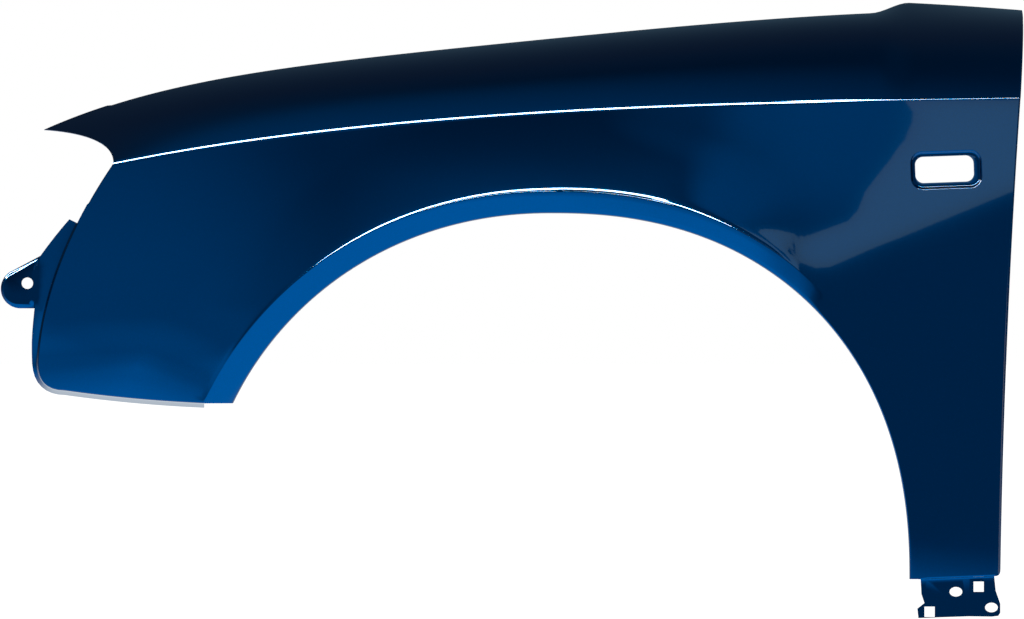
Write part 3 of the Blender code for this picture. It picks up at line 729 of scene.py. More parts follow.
def zip_rings(mesh, outer, inner, middle):
    """Triangles between two rings that both run anticlockwise round a middle point, taken in order of turn."""
    rings = []
    for ring in (outer, inner):
        first = min(range(len(ring)), key=lambda index: turn_from(middle, ring[index]))
        ring = ring[first:] + ring[:first]
        rings.append((ring + ring[:1], [turn_from(middle, vertex) for vertex in ring] + [math.inf]))
    (outer, outer_turns), (inner, inner_turns) = rings
    i = j = 0
    while i < len(outer) - 1 or j < len(inner) - 1:
        if j == len(inner) - 1 or (i < len(outer) - 1 and outer_turns[i + 1] <= inner_turns[j + 1]):
            mesh.faces.new((inner[j], outer[i], outer[i + 1]))
            i += 1
        else:
            mesh.faces.new((inner[j], outer[i], inner[j + 1]))
            j += 1


def build_window(mesh, side_faces):
    """Clears the side's faces round the window and fills the gap with the recess."""
    lines = recess_lines()
    outer = lines[0]
    middle = sum(outer, Vector()) / len(outer)
    columns = FRONT_COLUMNS + ARCH_COLUMNS + len(TAB_TOP_SHARES) * REAR_STEPS
    low = place(min(p.x for p in outer) - RECESS_MARGIN, min(p.z for p in outer) - RECESS_MARGIN)
    high = place(max(p.x for p in outer) + RECESS_MARGIN, max(p.z for p in outer) + RECESS_MARGIN)
    rows, places = set(), set()
    for index, face in enumerate(side_faces):
        xs = [vertex.co.x for vertex in face.verts]
        zs = [vertex.co.z for vertex in face.verts]
        if min(xs) < high.x and max(xs) > low.x and min(zs) < high.z and max(zs) > low.z:
            rows.add(index // columns)
            places.add(index % columns)
    cleared = [
        side_faces[row * columns + column]
        for row in range(min(rows), max(rows) + 1)
        for column in range(min(places), max(places) + 1)
    ]
    inside = set(cleared)
    gap = [edge for face in cleared for edge in face.edges if len(inside.intersection(edge.link_faces)) == 1]
    loop = ordered_loop(gap)
    bmesh.ops.delete(mesh, geom=cleared, context="FACES")
    area = sum(a.co.x * b.co.z - b.co.x * a.co.z for a, b in zip(loop, loop[1:] + loop[:1]))
    if area < 0:
        loop.reverse()
    rings = [add_line(mesh, line) for line in lines]
    zip_rings(mesh, loop, rings[0], middle)
    for ring, inner in zip(rings, rings[1:]):
        bridge(mesh, inner + inner[:1], ring + ring[:1])


# Flanges


def inboard_of(line, depth):
    """The places of a line of vertices, moved inboard."""
    return [vertex.co + Vector((0, depth, 0)) for vertex in line]


def build_band(mesh, side, band_fold, fold):
    """The band turned in round the arch, and the lip behind its edge."""
    fold_line = side[-1][FRONT_COLUMNS : FRONT_COLUMNS + ARCH_COLUMNS + 1]
    start = [vertex.co.copy() for vertex in fold_line]
    end = []
    for foot, point in zip(start, arch_line()):
        turn_in = BAND_TURN_IN * band_share(foot.x, foot.z)
        end.append(place(point.x, point.z, foot.y + turn_in))
    upper = fold_line
    for row in range(1, BAND_ROWS + 1):
        lower = add_line(mesh, [mix(a, b, row / BAND_ROWS) for a, b in zip(start, end)])
        bridge(mesh, upper, lower)
        upper = lower
    bridge(mesh, upper, add_line(mesh, inboard_of(upper, ARCH_LIP_DEPTH)))
    mark_fold(mesh, fold_line, band_fold)
    mark_fold(mesh, upper, fold)


def rail_height(x):
    """The rail flange is one plane, so that it sits flat along the body's rail."""
    front = hood_point(column_shares()[GUTTER_FIRST_COLUMN])
    start = front.z - GUTTER_FRONT_DEPTH
    end = HOOD_REAR_HEIGHT - GUTTER_REAR_DEPTH
    return mix(start, end, (x - front.x) / (HOOD_REAR_END - front.x))


def build_gutter(mesh, shoulder, fold):
    """The wall that drops from the hood line, and the flange that bolts to the body's rail."""
    hood = shoulder[-1][GUTTER_FIRST_COLUMN:]
    wall = [place(v.co.x, rail_height(v.co.x), v.co.y + GUTTER_LEAN) for v in hood]
    flange = [point + Vector((0, RAIL_WIDTH, 0)) for point in wall]
    wall_line, flange_line = add_line(mesh, wall), add_line(mesh, flange)
    bridge(mesh, hood[::-1], wall_line[::-1])
    bridge(mesh, wall_line[::-1], flange_line[::-1])
    mark_fold(mesh, hood, fold)
    mark_fold(mesh, wall_line, fold)
    return wall, flange


def fold_in(mesh, edge, width, fold):
    """A flange folded square to the panel along an edge."""
    mesh.normal_update()
    flange = add_line(mesh, [vertex.co - vertex.normal * width for vertex in edge])
    bridge(mesh, edge, flange)
    mark_fold(mesh, edge, fold)
    return flange


def build_lamp_flange(mesh, side, shoulder, fold):
    """The flange behind the lamp's edge, raked to the rear so that it hides behind the skin."""
    rows = [row[0] for row in shoulder[LAMP_FIRST_ROW:0:-1]] + [row[0] for row in side[: LAMP_LAST_ROW + 1]]
    for vertex in fold_in(mesh, rows, LAMP_FLANGE_WIDTH, fold):
        vertex.co.x += LAMP_FLANGE_RAKE


def build_door_flange(mesh, side, shoulder, fold):
    """The flange beside the door, with its pillar tab. Returns the tab's four corners."""
    rows = [row[-1] for row in side[-2::-1]] + [row[-1] for row in shoulder[1:-DOOR_FREE_ROWS]]
    flange = fold_in(mesh, rows, DOOR_FLANGE_WIDTH, fold)
    crease = len(side) - 2
    root = flange[crease - PILLAR_LAST_ROW : crease - PILLAR_FIRST_ROW + 1]
    tab = add_line(mesh, inboard_of(root, PILLAR_TAB_WIDTH))
    bridge(mesh, root, tab)
    return [vertex.co.copy() for vertex in (root[0], root[-1], tab[0], tab[-1])]


def strip_widths(edge_rows):
    """The widths of the strip beside each row of the front edge."""
    steps, last = len(STRIP_WIDTH_SHARES) - 1, edge_rows - 1
    return [STRIP_WIDTH * along_list(STRIP_WIDTH_SHARES, steps * row / last) for row in range(edge_rows)]


def build_front_flange(mesh, side, fold):
    """The flange set back along the front, round the corner and under the bottom. Returns its outer line."""
    rows = [row[0] for row in side[STRIP_FIRST_ROW:]]
    edge = rows + side[-1][1 : FRONT_COLUMNS + 1]
    inner = add_line(mesh, inboard_of(edge, STRIP_SET_BACK))
    bridge(mesh, edge, inner)
    widths = strip_widths(len(rows)) + [BOTTOM_FLANGE_DROP] * FRONT_COLUMNS
    points = []
    for index, (vertex, width) in enumerate(zip(inner, widths)):
        before = inner[max(0, index - 1)].co
        after = inner[min(index + 1, len(inner) - 1)].co
        outward = place(after.z - before.z, before.x - after.x).normalized()
        point = vertex.co + outward * width
        point.y += side_depth(point.x, point.z) - side_depth(vertex.co.x, vertex.co.z)
        point.y += BOTTOM_FLANGE_WIDTH * max(0, -outward.z) ** 2
        points.append(point)
    outer = add_line(mesh, points)
    bridge(mesh, inner, outer)
    mark_fold(mesh, edge, fold)
    mark_fold(mesh, inner, fold)
    return outer


def build_ear(mesh, strip):
    """The ear that stands out of the strip, with a raised middle. Returns its hole's centre."""
    root = strip[EAR_FIRST_ROW - STRIP_FIRST_ROW : EAR_LAST_ROW - STRIP_FIRST_ROW + 1]
    below = strip[EAR_LAST_ROW - STRIP_FIRST_ROW + 1]
    root.append(bmesh.utils.edge_split(mesh.edges.get((root[-1], below)), root[-1], EAR_FOOT_SHARE)[1])
    depth = sum(vertex.co.y for vertex in root) / len(root)
    centre = place(FRONT_END - EAR_REACH, root[-1].co.z + EAR_RADIUS, depth)
    tip = []
    for step in range(EAR_STEPS + 1):
        angle = mix(EAR_START_ANGLE, EAR_END_ANGLE, step / EAR_STEPS)
        tip.append(centre + place(EAR_RADIUS * math.cos(angle), EAR_RADIUS * math.sin(angle)))
    outline = [root[0]] + add_line(mesh, tip) + root[:0:-1]
    middle = sum((vertex.co for vertex in outline), Vector()) / len(outline)
    outer = outline
    for ring in range(1, EAR_RINGS + 1):
        share = ring / EAR_RINGS
        points = [mix(vertex.co, middle, EAR_RIM_SHARE * share) for vertex in outline]
        for point, vertex in zip(points, outline):
            point.y = mix(vertex.co.y, depth, share) - EAR_EMBOSS * ease(share, 0, 1)
        inner = add_line(mesh, points)
        bridge(mesh, inner + inner[:1], outer + outer[:1])
        outer = inner
    mesh.faces.new(outer)
    return centre + place(EAR_HOLE_BACK, EAR_HOLE_RISE)


def build_rear_tab(mesh, side, fold_weight):
    """The tab inboard of the rear bottom edge: two flats that meet at a fold. Returns its place function."""
    first = FRONT_COLUMNS + ARCH_COLUMNS
    shares = tab_shares()
    edge = side[-1][first : first + len(shares)]
    corners = edge[::REAR_STEPS]
    depth = sum(vertex.co.y for vertex in corners) / len(corners) + TAB_SET_BACK
    start, length = edge[0].co.x, edge[-1].co.x - edge[0].co.x
    height = edge[0].co.z

    def tab_place(across, down):
        """A point on the tab, by its shares across and down."""
        past_fold = max(0, across - TAB_FOLD_SHARES[0]) / (1 - TAB_FOLD_SHARES[0])
        return place(start + length * across, height - TAB_DROP * down, depth + TAB_TURN_IN * past_fold)

    top = [tab_place(share, 0) for share in shares]
    for point, vertex in zip(top, edge):
        point.z = vertex.co.z
    top_line = add_line(mesh, top)
    bridge(mesh, edge, top_line)
    front = add_line(mesh, [tab_place(*corner) for corner in TAB_FRONT_SHARES])
    fold = mesh.verts.new(tab_place(*TAB_FOLD_SHARES))
    rear = add_line(mesh, [tab_place(*corner) for corner in TAB_REAR_SHARES])
    mark_fold(mesh, edge, fold_weight)
    mark_fold(mesh, top_line, fold_weight)
    over_fold = REAR_STEPS * TAB_TOP_SHARES.index(TAB_FOLD_SHARES[0])
    mesh.faces.new([top_line[0]] + front + [fold] + top_line[over_fold:0:-1])
    mesh.faces.new([top_line[over_fold], fold] + rear + top_line[:over_fold:-1])
    return tab_place


# Holes


def prism(mesh, outline, reach):
    """A closed bar whose outline is given at its middle and which reaches the same way to both sides."""
    near = add_line(mesh, [point - reach for point in outline])
    far = add_line(mesh, [point + reach for point in outline])
    bridge(mesh, near + near[:1], far + far[:1])
    mesh.faces.new(near)
    mesh.faces.new(far[::-1])


def oval(centre, length, height, along, up):
    """A ring of points, by its two sizes and the directions that they run in."""
    points = []
    for step in range(HOLE_SIDES):
        angle = 2 * math.pi * step / HOLE_SIDES
        points.append(centre + along * (math.cos(angle) * length / 2) + up * (math.sin(angle) * height / 2))
    return points


def square(centre, side):
    """The corners of a square that faces outwards."""
    return [centre + place(x * side / 2, z * side / 2) for x, z in SQUARE_CORNERS]


def point_along(points, share):
    """The point at a share of a line's X range."""
    x = mix(points[0].x, points[-1].x, share)
    for a, b in zip(points, points[1:]):
        if x <= b.x:
            return mix(a, b, (x - a.x) / (b.x - a.x))
    return points[-1]


def single_cutter(pillar, ear_centre, tab_place, sizes):
    """One object with a bar for each hole that stands alone."""
    mesh = bmesh.new()
    along, inboard, up = Vector((1, 0, 0)), Vector((0, 1, 0)), Vector((0, 0, 1))
    centre = sum(pillar, Vector()) / len(pillar)
    prism(mesh, oval(centre, sizes.bolt_hole, sizes.bolt_hole, inboard, up), along * CUT_OVERRUN)
    prism(mesh, oval(ear_centre, sizes.ear_hole, sizes.ear_hole, along, up), inboard * CUT_OVERRUN)
    for shares in TAB_OVAL_SHARES:
        prism(mesh, oval(tab_place(*shares), TAB_OVAL_LENGTH, TAB_OVAL_HEIGHT, along, up), inboard * CUT_OVERRUN)
    for shares in TAB_SQUARE_SHARES:
        prism(mesh, square(tab_place(*shares), TAB_SQUARE_SIDE), inboard * CUT_OVERRUN)
    bmesh.ops.recalc_face_normals(mesh, faces=mesh.faces[:])
    return new_object("single_cutter", mesh)


def punch_tree():
    """A Geometry Nodes tree that stands a round punch on every point of a mesh, and its inputs' identifiers."""
    tree = bpy.data.node_groups.new("punch_row", "GeometryNodeTree")
    kinds = {"Points": "Geometry", "Diameter": "Float", "Length": "Float", "Sides": "Int", "Material": "Material"}
    inputs = {}
    for title, kind in kinds.items():
        socket = tree.interface.new_socket(title, in_out="INPUT", socket_type="NodeSocket" + kind)
        inputs[title] = socket.identifier
    tree.interface.new_socket("Punches", in_out="OUTPUT", socket_type="NodeSocketGeometry")
    nodes, link = tree.nodes, tree.links.new
    start, end = nodes.new("NodeGroupInput"), nodes.new("NodeGroupOutput")
    half = nodes.new("ShaderNodeMath")
    half.operation = "DIVIDE"
    half.inputs[1].default_value = 2
    bar = nodes.new("GeometryNodeMeshCylinder")
    stand = nodes.new("GeometryNodeInstanceOnPoints")
    real = nodes.new("GeometryNodeRealizeInstances")
    paint = nodes.new("GeometryNodeSetMaterial")
    link(start.outputs["Diameter"], half.inputs[0])
    link(half.outputs[0], bar.inputs["Radius"])
    link(start.outputs["Length"], bar.inputs["Depth"])
    link(start.outputs["Sides"], bar.inputs["Vertices"])
    link(start.outputs["Points"], stand.inputs["Points"])
    link(bar.outputs["Mesh"], stand.inputs["Instance"])
    link(stand.outputs["Instances"], real.inputs["Geometry"])
    link(real.outputs["Geometry"], paint.inputs["Geometry"])
    link(start.outputs["Material"], paint.inputs["Material"])
    link(paint.outputs["Geometry"], end.inputs["Punches"])
    return tree, inputs


def row_cutter(wall, flange, sizes, coat):
    """The punches for the row of holes along the rail flange."""
    middle = [(a + b) / 2 for a, b in zip(wall, flange)]
    mesh = bmesh.new()
    add_line(mesh, [point_along(middle, share) for share in RAIL_HOLE_SHARES])
    punches = new_object("rail_punches", mesh)
    modifier = punches.modifiers.new("punch_row", "NODES")
    modifier.node_group, inputs = punch_tree()
    values = {"Diameter": sizes.bolt_hole, "Length": CUT_OVERRUN * 2, "Sides": HOLE_SIDES, "Material": coat}
    for title, value in values.items():
        modifier[inputs[title]] = value
    settle(punches)
    return punches


# Objects


def new_object(name, mesh):
    """An object in the scene from a mesh that is finished with."""
    data = bpy.data.meshes.new(name)
    mesh.to_mesh(data)
    mesh.free()
    thing = bpy.data.objects.new(name, data)
    bpy.context.scene.collection.objects.link(thing)
    return thing


def settle(thing):
    """Turns an object's modifiers into its own mesh."""
    graph = bpy.context.evaluated_depsgraph_get()
    made = bpy.data.meshes.new_from_object(thing.evaluated_get(graph))
    thing.modifiers.clear()
    thing.data = made


def side_normal(x, z):
    """The outward direction of the side's surface at a place seen from outside."""
    step, span = NORMAL_STEP, 2 * NORMAL_STEP
    across = (side_depth(x + step, z) - side_depth(x - step, z)) / span
    above = (side_depth(x, z + step) - side_depth(x, z - step)) / span
    return Vector((across, -1, above)).normalized()


def true_the_side(mesh):
    """Gives the side's corners the normals of the surface itself, so that reflections run evenly over it."""
    normals = [corner.vector.copy() for corner in mesh.corner_normals]
    found = {}
    for face in mesh.polygons:
        if face.normal.y > -OUTWARD_SHARE:
            continue
        for corner in face.loop_indices:
            index = mesh.loops[corner].vertex_index
            if index not in found:
                point = mesh.vertices[index].co
                near = abs(point.y - side_depth(point.x, point.z)) < SURFACE_TOLERANCE
                found[index] = side_normal(point.x, point.z) if near else None
            normal = found[index]
            if normal is not None and face.normal.dot(normal) > SAME_DIRECTION_SHARE:
                normals[corner] = normal
    mesh.normals_split_custom_set(normals)


def finish_sheet(panel, cutters, sizes):
    """Rounds the folds, gives the sheet its thickness and cuts the holes."""
    bevel = panel.modifiers.new("folds", "BEVEL")
    bevel.limit_method = "WEIGHT"
    bevel.width = sizes.crease_radius
    bevel.segments = FOLD_STEPS
    bevel.use_clamp_overlap = False
    solidify = panel.modifiers.new("sheet", "SOLIDIFY")
    solidify.thickness = sizes.sheet_thickness
    solidify.offset = -1
    solidify.material_offset = 1
    for cutter in cutters:
        holes = panel.modifiers.new("holes", "BOOLEAN")
        holes.operation = "DIFFERENCE"
        holes.solver = "EXACT"
        holes.object = cutter
    settle(panel)
    for cutter in cutters:
        bpy.data.objects.remove(cutter, do_unlink=True)
    panel.data.shade_smooth()
    panel.data.set_sharp_from_angle(angle=SMOOTH_ANGLE)
    true_the_side(panel.data)
    panel.data.transform(Matrix.Translation(WHEEL_CENTRE))


# Paint


def shader_group(name, inputs, outputs):
    """An empty node group with its sockets, and its start and end nodes."""
    tree = bpy.data.node_groups.new(name, "ShaderNodeTree")
    for title, kind, value in inputs:
        socket = tree.interface.new_socket(title, in_out="INPUT", socket_type=kind)
        if value is not None:
            socket.default_value = value
    for title, kind in outputs:
        tree.interface.new_socket(title, in_out="OUTPUT", socket_type=kind)
    return tree, tree.nodes.new("NodeGroupInput"), tree.nodes.new("NodeGroupOutput")


def math_node(tree, operation, first, second):
    """A Math node whose two values are sockets or numbers. Returns its output."""
    node = tree.nodes.new("ShaderNodeMath")
    node.operation = operation
    for socket, value in zip(node.inputs, (first, second)):
        if isinstance(value, (int, float)):
            socket.default_value = value
        else:
            tree.links.new(value, socket)
    return node.outputs[0]


def flake_group():
    """Colour coat with metal flakes: each small cell is a little brighter or darker than the paint round it."""
    tree, start, end = shader_group(
        "metal_flake",
        [
            ("Place", "NodeSocketVector", None),
            ("Colour", "NodeSocketColor", (0.0, 0.1, 0.4, 1.0)),
            ("Flake size", "NodeSocketFloat", 0.0007),
            ("Spread", "NodeSocketFloat", 0.12),
            ("Cloud", "NodeSocketFloat", 0.05),
        ],
        [("Colour", "NodeSocketColor")],
    )
    link = tree.links.new
    cells = tree.nodes.new("ShaderNodeTexVoronoi")
    link(start.outputs["Place"], cells.inputs["Vector"])
    link(math_node(tree, "DIVIDE", 1.0, start.outputs["Flake size"]), cells.inputs["Scale"])
    grey = tree.nodes.new("ShaderNodeSeparateColor")
    link(cells.outputs["Color"], grey.inputs["Color"])
    flake = math_node(tree, "SUBTRACT", grey.outputs[0], TEXTURE_MEAN)
    flake = math_node(tree, "MULTIPLY", flake, start.outputs["Spread"])
    cloud = tree.nodes.new("ShaderNodeTexNoise")
    cloud.inputs["Scale"].default_value = CLOUDS_PER_METRE
    cloud.inputs["Detail"].default_value = CLOUD_DETAIL
    link(start.outputs["Place"], cloud.inputs["Vector"])
    drift = math_node(tree, "SUBTRACT", cloud.outputs[0], TEXTURE_MEAN)
    drift = math_node(tree, "MULTIPLY", drift, start.outputs["Cloud"])
    gain = math_node(tree, "ADD", math_node(tree, "ADD", flake, drift), 1.0)
    tint = tree.nodes.new("ShaderNodeVectorMath")
    tint.operation = "SCALE"
    link(start.outputs["Colour"], tint.inputs[0])
    link(gain, tint.inputs["Scale"])
    link(tint.outputs[0], end.inputs["Colour"])
    return tree


def ripple_group():
    """Height of the very shallow ripples that sprayed lacquer dries with."""
    tree, start, end = shader_group(
        "spray_ripple",
        [
            ("Place", "NodeSocketVector", None),
            ("Width", "NodeSocketFloat", 0.006),
            ("Rise", "NodeSocketFloat", 0.00001),
        ],
        [("Height", "NodeSocketFloat")],
    )
    link = tree.links.new
    waves = tree.nodes.new("ShaderNodeTexNoise")
    waves.inputs["Detail"].default_value = RIPPLE_DETAIL
    link(start.outputs["Place"], waves.inputs["Vector"])
    link(math_node(tree, "DIVIDE", 1.0, start.outputs["Width"]), waves.inputs["Scale"])
    link(math_node(tree, "MULTIPLY", waves.outputs[0], start.outputs["Rise"]), end.inputs["Height"])
    return tree


def coat_material(name, colour, groups, values):
    """A paint whose colour comes from the flake group and whose surface comes from the ripple group."""
    material = bpy.data.materials.new(name)
    material.use_nodes = True
    tree = material.node_tree
    shader = tree.nodes["Principled BSDF"]
    where = tree.nodes.new("ShaderNodeTexCoord")
    flakes = tree.nodes.new("ShaderNodeGroup")
    ripples = tree.nodes.new("ShaderNodeGroup")
    flakes.node_tree, ripples.node_tree = groups
    flakes.inputs["Colour"].default_value = (*colour, 1.0)
    flakes.inputs["Flake size"].default_value = values["flake"]
    flakes.inputs["Spread"].default_value = values["spread"]
    flakes.inputs["Cloud"].default_value = values["cloud"]
    ripples.inputs["Width"].default_value = values["ripple"]
    ripples.inputs["Rise"].default_value = values["rise"]
    bump = tree.nodes.new("ShaderNodeBump")
    bump.inputs["Distance"].default_value = 1.0
    link = tree.links.new
    link(where.outputs["Object"], flakes.inputs["Place"])
    link(where.outputs["Object"], ripples.inputs["Place"])
    link(flakes.outputs["Colour"], shader.inputs["Base Color"])
    link(ripples.outputs["Height"], bump.inputs["Height"])
    link(bump.outputs["Normal"], shader.inputs["Normal"])
    shader.inputs["Metallic"].default_value = values["metallic"]
    shader.inputs["Roughness"].default_value = values["roughness"]
    shader.inputs["Coat Weight"].default_value = values["lacquer"]
    shader.inputs["Coat Roughness"].default_value = LACQUER_ROUGHNESS
    return material


def make_paints(settings):
    """The lacquered outer coat and the thinner inside coat."""
    groups = (flake_group(), ripple_group())
    chosen = {
        "flake": settings.flake_size,
        "ripple": settings.peel_size,
        "roughness": settings.flake_roughness,
        "lacquer": settings.lacquer,
    }
    outer = coat_material("lacquered_blue", settings.colour, groups, OUTER_COAT | chosen)
    inner = coat_material("inside_coat", settings.inside_colour, groups, INNER_COAT)
    return outer, inner


# Stage


def stage_card(name, corners, material):
    """A flat stage piece by its corners."""
    mesh = bmesh.new()
    mesh.faces.new(add_line(mesh, corners))
    card = new_object(name, mesh)
    card.data.materials.append(material)
    return card


def seen_directly(tree):
    """One for the camera, mirrors and glass, which see the white background, and zero for other light."""
    rays = tree.nodes.new("ShaderNodeLightPath")
    either = math_node(tree, "MAXIMUM", rays.outputs["Is Camera Ray"], rays.outputs["Is Glossy Ray"])
    return math_node(tree, "MAXIMUM", either, rays.outputs["Is Transmission Ray"])


def floor_material():
    """White floor that keeps the shadow. What sees it directly sees it lifted to the background's white."""
    material = bpy.data.materials.new("studio_floor")
    material.use_nodes = True
    tree = material.node_tree
    shader = tree.nodes["Principled BSDF"]
    shader.inputs["Base Color"].default_value = (FLOOR_GREY, FLOOR_GREY, FLOOR_GREY, 1.0)
    shader.inputs["Roughness"].default_value = 1.0
    shader.inputs["Specular IOR Level"].default_value = 0.0
    shader.inputs["Emission Color"].default_value = WHITE
    lift = math_node(tree, "MULTIPLY", seen_directly(tree), FLOOR_LIFT)
    tree.links.new(lift, shader.inputs["Emission Strength"])
    return material


def glow_material(name):
    """A material that only glows. Returns it, its tree and the socket of its colour."""
    material = bpy.data.materials.new(name)
    material.use_nodes = True
    tree = material.node_tree
    tree.nodes.remove(tree.nodes["Principled BSDF"])
    glow = tree.nodes.new("ShaderNodeEmission")
    tree.links.new(glow.outputs["Emission"], tree.nodes["Material Output"].inputs["Surface"])
    return material, tree, glow.inputs["Color"]


def only_in_reflections(thing):
    """Hides a stage piece or light from all but mirror reflections."""
    thing.visible_camera = False
    thing.visible_diffuse = False
    thing.visible_transmission = False
    thing.visible_shadow = False


def direction(azimuth, elevation):
    """The direction from the panel to a place round it. Azimuth 0 is in front and minus is to the left."""
    turn, rise = math.radians(azimuth), math.radians(elevation)
    return Vector((math.sin(turn) * math.cos(rise), -math.cos(turn) * math.cos(rise), math.sin(rise)))


def tent_fade(tree, value, start, end, gain=1.0):
    """Rises smoothly from zero to the gain while a value goes from start to end."""
    fade = tree.nodes.new("ShaderNodeMapRange")
    fade.interpolation_type = "SMOOTHSTEP"
    fade.inputs["From Min"].default_value = start
    fade.inputs["From Max"].default_value = end
    fade.inputs["To Max"].default_value = gain
    tree.links.new(value, fade.inputs["Value"])
    return fade.outputs["Result"]


def tent_spot(tree, aim, azimuth, elevation, radius, gain):
    """A soft round spot on the tent. Returns its brightness."""
    dot = tree.nodes.new("ShaderNodeVectorMath")
    dot.operation = "DOT_PRODUCT"
    dot.inputs[1].default_value = direction(azimuth, elevation)
    tree.links.new(aim, dot.inputs[0])
    return tent_fade(tree, dot.outputs["Value"], math.cos(math.radians(radius)), 1.0, gain)


def tent_blend(tree, share, first, second):
    """A colour between two, which are sockets or plain colours."""
    blend = tree.nodes.new("ShaderNodeMix")
    blend.data_type = "RGBA"
    tree.links.new(share, blend.inputs["Factor"])
    for index, colour in zip(BLEND_INPUTS, (first, second)):
        socket = blend.inputs[index]
        if isinstance(colour, tuple):
            socket.default_value = (*colour, 1.0)
        else:
            tree.links.new(colour, socket)
    return blend.outputs[BLEND_OUTPUT]


def tent_material():
    """A studio tent: dark above, bright below, with soft spots, and plain cloth behind the panel."""
    material, tree, colour = glow_material("studio_tent")
    nodes, link = tree.nodes, tree.links.new
    where = nodes.new("ShaderNodeTexCoord")
    aim = nodes.new("ShaderNodeVectorMath")
    aim.operation = "NORMALIZE"
    parts = nodes.new("ShaderNodeSeparateXYZ")
    height = nodes.new("ShaderNodeMapRange")
    height.inputs["From Min"].default_value = -1.0
    ramp = nodes.new("ShaderNodeValToRGB")
    link(where.outputs["Object"], aim.inputs[0])
    link(aim.outputs[0], parts.inputs[0])
    link(parts.outputs["Z"], height.inputs["Value"])
    link(height.outputs["Result"], ramp.inputs["Fac"])
    elements = ramp.color_ramp.elements
    while len(elements) < len(TENT_STOPS):
        elements.new(0.5)
    for element, (angle, level) in zip(elements, TENT_STOPS):
        element.position = (math.sin(math.radians(angle)) + 1) / 2
        element.color = (level, level, level, 1.0)
    level = ramp.outputs["Color"]
    for spot in TENT_SPOTS:
        level = math_node(tree, "ADD", level, tent_spot(tree, aim.outputs[0], *spot))
    cloth = nodes.new("ShaderNodeVectorMath")
    cloth.operation = "SCALE"
    cloth.inputs[0].default_value = TENT_FRONT_TINT
    link(level, cloth.inputs["Scale"])
    behind = tent_fade(tree, parts.outputs["Y"], *TENT_BACK_START)
    above_foot = tent_fade(tree, parts.outputs["Z"], *TENT_BACK_FOOT)
    back = tent_blend(tree, above_foot, TENT_BACK_FOOT_COLOUR, TENT_BACK_COLOUR)
    link(tent_blend(tree, behind, cloth.outputs[0], back), colour)
    return material


def build_tent(floor_height):
    """The tent round the panel, flat at its foot."""
    centre = WHEEL_CENTRE + PICTURE_CENTRE
    foot = floor_height + TENT_ABOVE_FLOOR - centre.z
    mesh = bmesh.new()
    bmesh.ops.create_icosphere(mesh, subdivisions=TENT_FINENESS, radius=TENT_RADIUS)
    for vertex in mesh.verts:
        vertex.co.z = max(vertex.co.z, foot)
    bmesh.ops.reverse_faces(mesh, faces=mesh.faces[:])
    tent = new_object("studio_tent", mesh)
    tent.location = centre
    tent.data.materials.append(tent_material())
    only_in_reflections(tent)


def build_reflector():
    """The card whose reflection is the lighter patch round the window."""
    material, _, colour = glow_material("warm_reflector")
    colour.default_value = (*REFLECTOR_COLOUR, 1.0)
    corners = [WHEEL_CENTRE + place(x, z, -REFLECTOR_DISTANCE) for x, z in REFLECTOR_OUTLINE]
    only_in_reflections(stage_card("warm_reflector", corners, material))


def strip_light(name, left, right, elevation, height, strength):
    """A narrow light that spans two azimuths at one elevation and faces the panel."""
    width = 2 * STRIP_DISTANCE * math.tan(math.radians(right - left) / 2)
    data = bpy.data.lights.new(name, "AREA")
    data.shape = "RECTANGLE"
    data.size, data.size_y = width, height
    data.color = STRIP_COLOUR
    data.energy = strength * width * height * math.pi
    light = bpy.data.objects.new(name, data)
    back = direction((left + right) / 2, elevation)
    light.location = WHEEL_CENTRE + PICTURE_CENTRE + back * STRIP_DISTANCE
    light.rotation_mode = "QUATERNION"
    light.rotation_quaternion = back.to_track_quat("Z", "Y")
    only_in_reflections(light)
    bpy.context.scene.collection.objects.link(light)


def build_world(settings):
    """Even light from all round, in front of a white background."""
    world = bpy.data.worlds.new("studio_light")
    world.use_nodes = True
    tree = world.node_tree
    shader = tree.nodes["Background"]
    shader.inputs["Color"].default_value = WHITE
    extra = math_node(tree, "MULTIPLY", seen_directly(tree), 1.0 - settings.light_level)
    tree.links.new(math_node(tree, "ADD", extra, settings.light_level), shader.inputs["Strength"])
    world.cycles.sampling_method = "NONE"
    bpy.context.scene.world = world


def build_camera(settings):
    """A camera square in front of the panel, far off, as the photo was taken."""
    data = bpy.data.cameras.new("camera")
    data.sensor_width = SENSOR_WIDTH
    data.lens = SENSOR_WIDTH * settings.camera_distance / settings.frame_width
    data.clip_end = settings.camera_distance * CLIP_DISTANCES
    camera = bpy.data.objects.new("camera", data)
    camera.location = WHEEL_CENTRE + PICTURE_CENTRE - Vector((0, settings.camera_distance, 0))
    camera.rotation_euler = (math.pi / 2, 0, 0)
    bpy.context.scene.collection.objects.link(camera)
    bpy.context.scene.camera = camera


# Operators


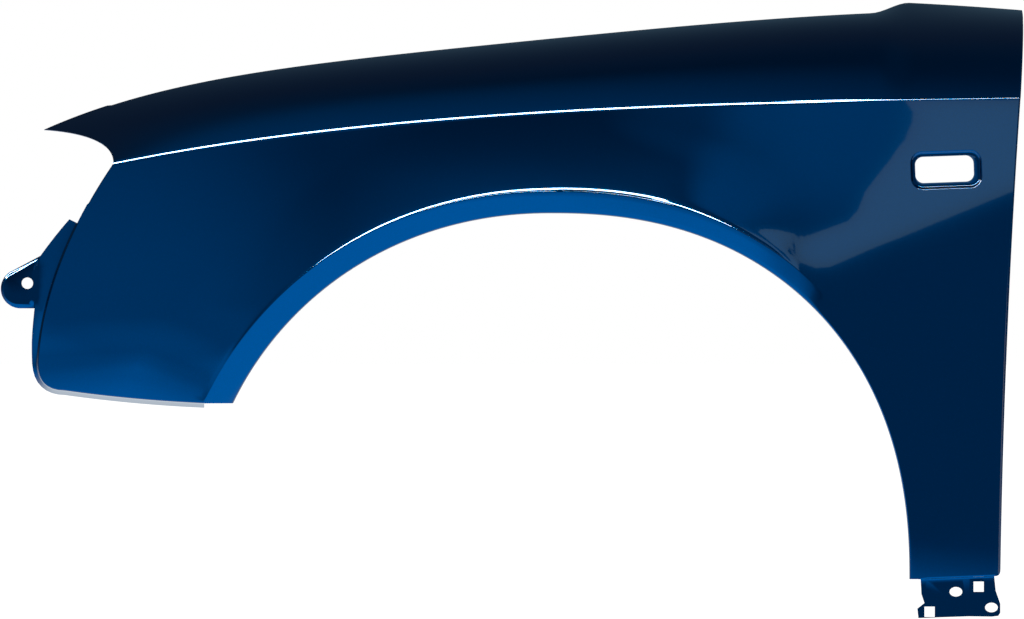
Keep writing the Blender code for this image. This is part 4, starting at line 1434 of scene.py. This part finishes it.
class FENDER_OT_make_panel(Operator):
    """Make the fender panel with its folds, flanges, recess and holes"""

    bl_idname = "fender.make_panel"
    bl_label = "Make Panel"

    def execute(self, context):
        sizes = context.scene.fender_sizes
        crease = sizes.crease_radius
        fold, hood_fold = sizes.fold_radius / crease, sizes.hood_fold_radius / crease
        mesh = bmesh.new()
        mesh.edges.layers.float.new("bevel_weight_edge")
        side, shoulder, side_faces = build_skin(mesh)
        build_band(mesh, side, sizes.band_fold_radius / crease, fold)
        wall, flange = build_gutter(mesh, shoulder, hood_fold)
        build_lamp_flange(mesh, side, shoulder, fold)
        pillar = build_door_flange(mesh, side, shoulder, fold)
        ear_centre = build_ear(mesh, build_front_flange(mesh, side, fold))
        tab_place = build_rear_tab(mesh, side, fold)
        build_window(mesh, side_faces)
        panel = new_object("painted_panel", mesh)
        outer, inner = make_paints(context.scene.fender_paint)
        panel.data.materials.append(outer)
        panel.data.materials.append(inner)
        cutters = [
            single_cutter(pillar, ear_centre, tab_place, sizes),
            row_cutter(wall, flange, sizes, outer),
        ]
        finish_sheet(panel, cutters, sizes)
        if len(panel.data.polygons) < len(side_faces):
            raise RuntimeError("the panel lost its surface when its holes were cut")
        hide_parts(PANEL_NODE)
        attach(panel, "root")
        return {"FINISHED"}


class FENDER_OT_make_stage(Operator):
    """Make the white floor, the lights, the tent and the camera"""

    bl_idname = "fender.make_stage"
    bl_label = "Make Stage"

    def execute(self, context):
        settings = context.scene.fender_stage
        height = WHEEL_CENTRE.z - settings.floor_drop
        corners = [Vector((x * FLOOR_REACH, y * FLOOR_REACH, height)) for x, y in SQUARE_CORNERS]
        stage_card("studio_floor", corners, floor_material())
        build_tent(height)
        build_reflector()
        for name, strip in STRIPS.items():
            strip_light(name, *strip, settings.strip_strength)
        build_world(settings)
        build_camera(settings)
        context.scene.view_settings.view_transform = "Standard"
        return {"FINISHED"}


class FENDER_PT_sidebar(Panel):
    """Every setting, with a button for each step"""

    bl_label = "Fender"
    bl_space_type = "VIEW_3D"
    bl_region_type = "UI"
    bl_category = "Fender"

    def draw(self, context):
        scene = context.scene
        for group in (scene.fender_sizes, scene.fender_paint, scene.fender_stage):
            box = self.layout.box()
            for name in group.__annotations__:
                box.prop(group, name)
        for operator in (FENDER_OT_make_panel, FENDER_OT_make_stage):
            self.layout.operator(operator.bl_idname)


CLASSES = (
    FenderSizes,
    PaintSettings,
    StageSettings,
    FENDER_OT_make_panel,
    FENDER_OT_make_stage,
    FENDER_PT_sidebar,
)


def register():
    """Adds the settings and buttons."""
    for item in CLASSES:
        bpy.utils.register_class(item)
    bpy.types.Scene.fender_sizes = PointerProperty(type=FenderSizes)
    bpy.types.Scene.fender_paint = PointerProperty(type=PaintSettings)
    bpy.types.Scene.fender_stage = PointerProperty(type=StageSettings)


def unregister():
    """Takes them away again."""
    del bpy.types.Scene.fender_stage
    del bpy.types.Scene.fender_paint
    del bpy.types.Scene.fender_sizes
    for item in reversed(CLASSES):
        bpy.utils.unregister_class(item)


def main():
    """Makes the panel and its stage."""
    register()
    bpy.ops.fender.make_panel()
    bpy.ops.fender.make_stage()


if __name__ == "__main__":
    main()
